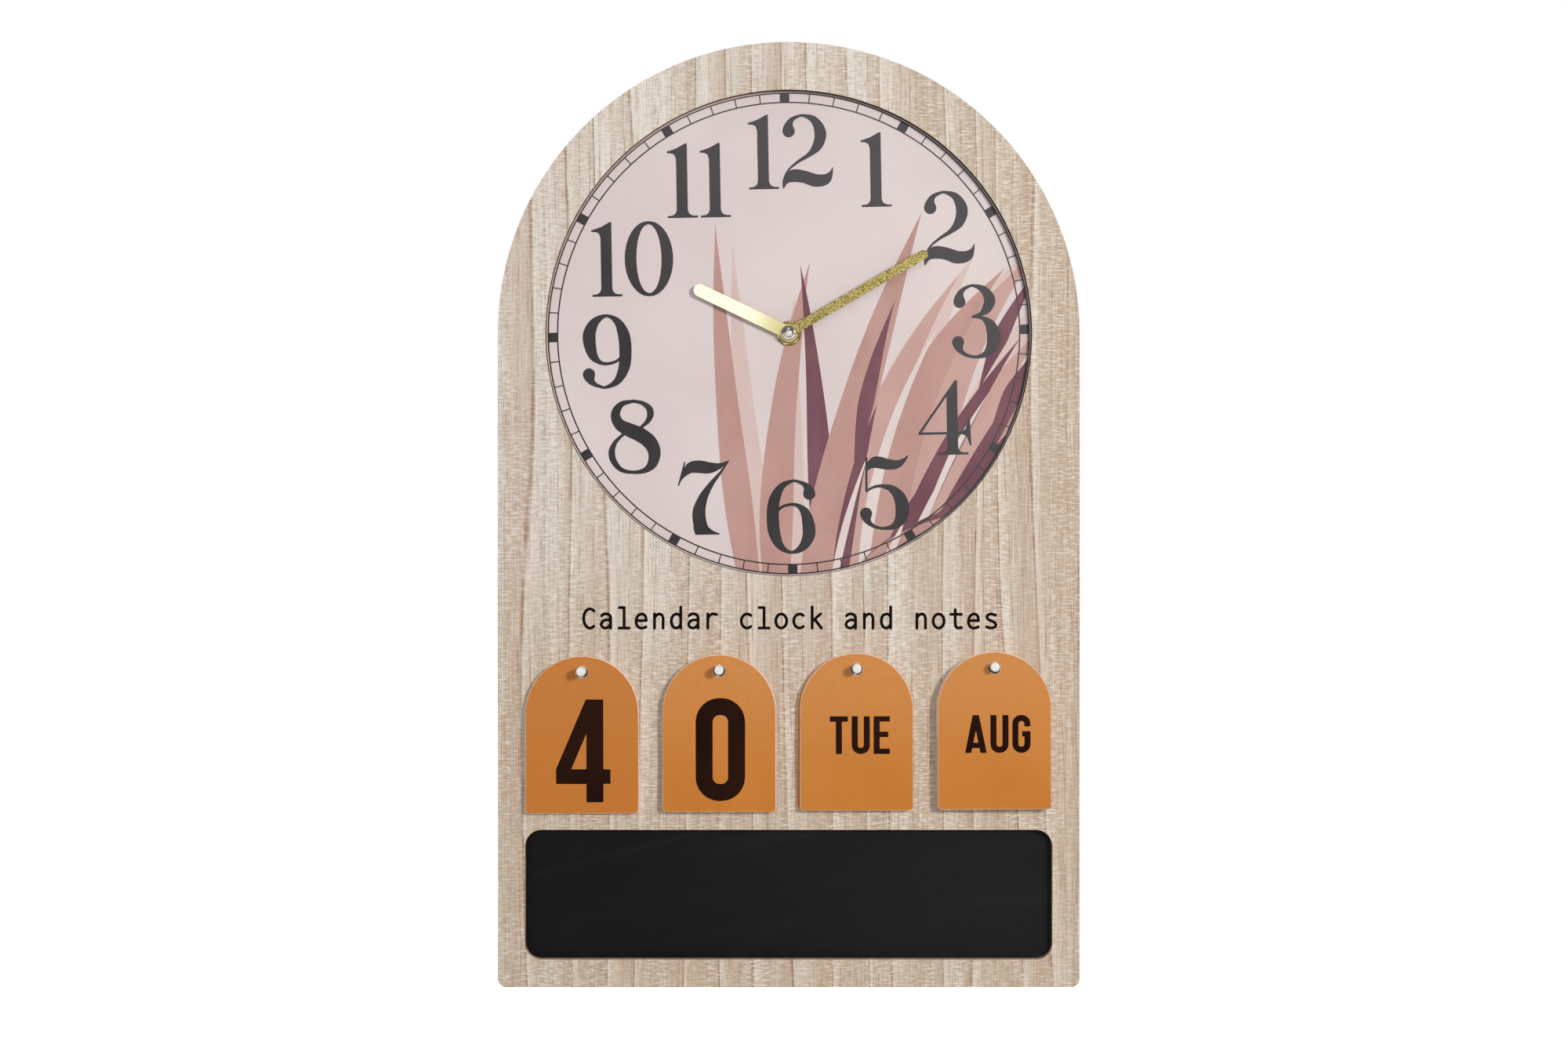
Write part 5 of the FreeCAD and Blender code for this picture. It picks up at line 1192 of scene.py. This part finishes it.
def make_movement_marks():
    """An arrow over the setting knob, and the signs of the cell's two ends, seen from behind."""
    knob, cover = middle("setting_knob"), span("rear_cover")
    turns = [math.radians(degrees) for degrees in range(ARROW_SWEEP[0], ARROW_SWEEP[1] + 1, 10)]
    sweep = [(ARROW_RADIUS * math.cos(turn), ARROW_RADIUS * math.sin(turn)) for turn in turns]
    outward = Vector((math.cos(turns[-1]), math.sin(turns[-1])))
    onward = Vector((-outward.y, outward.x))
    end, half_base = outward * ARROW_RADIUS, outward * ARROW_HEAD / 2
    head = [tuple(end + half_base), tuple(end + onward * ARROW_HEAD), tuple(end - half_base)]
    arrow = joined([brush(sweep, ARROW_WEIGHT), area(head)])
    bar = SIGN_SIZE / 2
    minus = brush([(-bar, 0), (bar, 0)], ARROW_WEIGHT, square_ends=True)
    plus = joined([minus, brush([(0, -bar), (0, bar)], ARROW_WEIGHT, square_ends=True)])
    signs_z = cover[0].z + SIGN_MARGIN
    placed = [(arrow, knob.x, knob.z, ARROW_RADIUS + ARROW_HEAD),
              (plus, cover[1].x - SIGN_MARGIN, signs_z, SIGN_SIZE),
              (minus, cover[0].x + SIGN_MARGIN, signs_z, SIGN_SIZE)]
    groups = []
    for shape, x, z, reach in placed:
        loops = outlines(shape, (-reach, -reach), (reach, reach), cell=0.12, tolerance=0.01)
        groups.append([[(x - u, z + v) for u, v in loop] for loop in loops])
    grey = ink("movement_grey_ink", (150, 150, 152), (170, 170, 172), 0.45, 0.6)
    printed("movement_marks", [(INK, groups)], grey, "board", cover[1].y, rear=True)


# ---- Floor, light and camera ----
def make_floor():
    look = Look("studio_floor", Roughness=0.9, Emission_Color=(1, 1, 1, 1), Emission_Strength=0.75)
    clouds = look.speckle(3, 2.0)
    look.colour(look.mixed(clouds, (246, 246, 246), (250, 250, 250)))
    mesh = bpy.data.meshes.new("floor")
    half, height = 6.0, cad_box[0].z - 0.05
    corners = [(-half, -half, height), (half, -half, height), (half, half, height),
               (-half, half, height)]
    mesh.from_pydata(corners, [], [(0, 1, 2, 3)])
    mesh.materials.append(look.material)
    floor = bpy.data.objects.new("floor", mesh)
    bpy.context.scene.collection.objects.link(floor)
    floor.visible_diffuse = False      # it throws no light back up at the clock


def area_light(name, place, target, size, power, tint=(1, 1, 1)):
    lamp = bpy.data.lights.new(name, "AREA")
    lamp.shape, lamp.size, lamp.energy, lamp.color = "DISK", size, power, tint
    light = bpy.data.objects.new(name, lamp)
    light.location = place
    light.rotation_euler = (Vector(target) - Vector(place)).to_track_quat("-Z", "Y").to_euler()
    bpy.context.scene.collection.objects.link(light)


def make_light():
    centre = (0.0, 0.0, -0.13)
    area_light("key_light", (1.1, -2.05, 0.34), centre, size=0.4, power=32, tint=(1.0, 0.99, 0.975))
    area_light("front_light", (-0.5, -2.5, 0.3), centre, size=1.8, power=11)
    area_light("back_light", (-0.6, 1.9, 0.8), centre, size=1.4, power=22)
    area_light("top_light", (0.0, 0.3, 2.6), (0, 0.3, 0), size=2.5, power=30)

    world = bpy.data.worlds.new("studio")
    bpy.context.scene.world = world
    world.use_nodes = True
    tree = world.node_tree
    seen = tree.nodes.new("ShaderNodeLightPath").outputs["Is Camera Ray"]
    strength = tree.nodes.new("ShaderNodeMapRange")
    strength.inputs["To Min"].default_value = 0.3
    strength.inputs["To Max"].default_value = 1.0
    tree.links.new(seen, strength.inputs["Value"])
    tree.nodes["Background"].inputs["Color"].default_value = (1, 1, 1, 1)
    tree.links.new(strength.outputs[0], tree.nodes["Background"].inputs["Strength"])


def make_camera():
    """Straight on, level with the dial's 6."""
    distance, sideways, height = 1.5, -0.0024, -0.1358
    camera = bpy.data.cameras.new("camera")
    camera.sensor_width, camera.lens = 36.0, 66.8
    holder = bpy.data.objects.new("camera", camera)
    holder.location = (sideways, BOARD_FACE * MM - distance, height)
    holder.rotation_euler = (math.radians(90), 0, 0)
    bpy.context.scene.collection.objects.link(holder)
    bpy.context.scene.camera = holder


dress_nodes()
make_dial_print()
make_board_lettering()
make_card_print()
make_movement_marks()
make_floor()
make_light()
make_camera()
bpy.context.scene.view_settings.view_transform = "Standard"
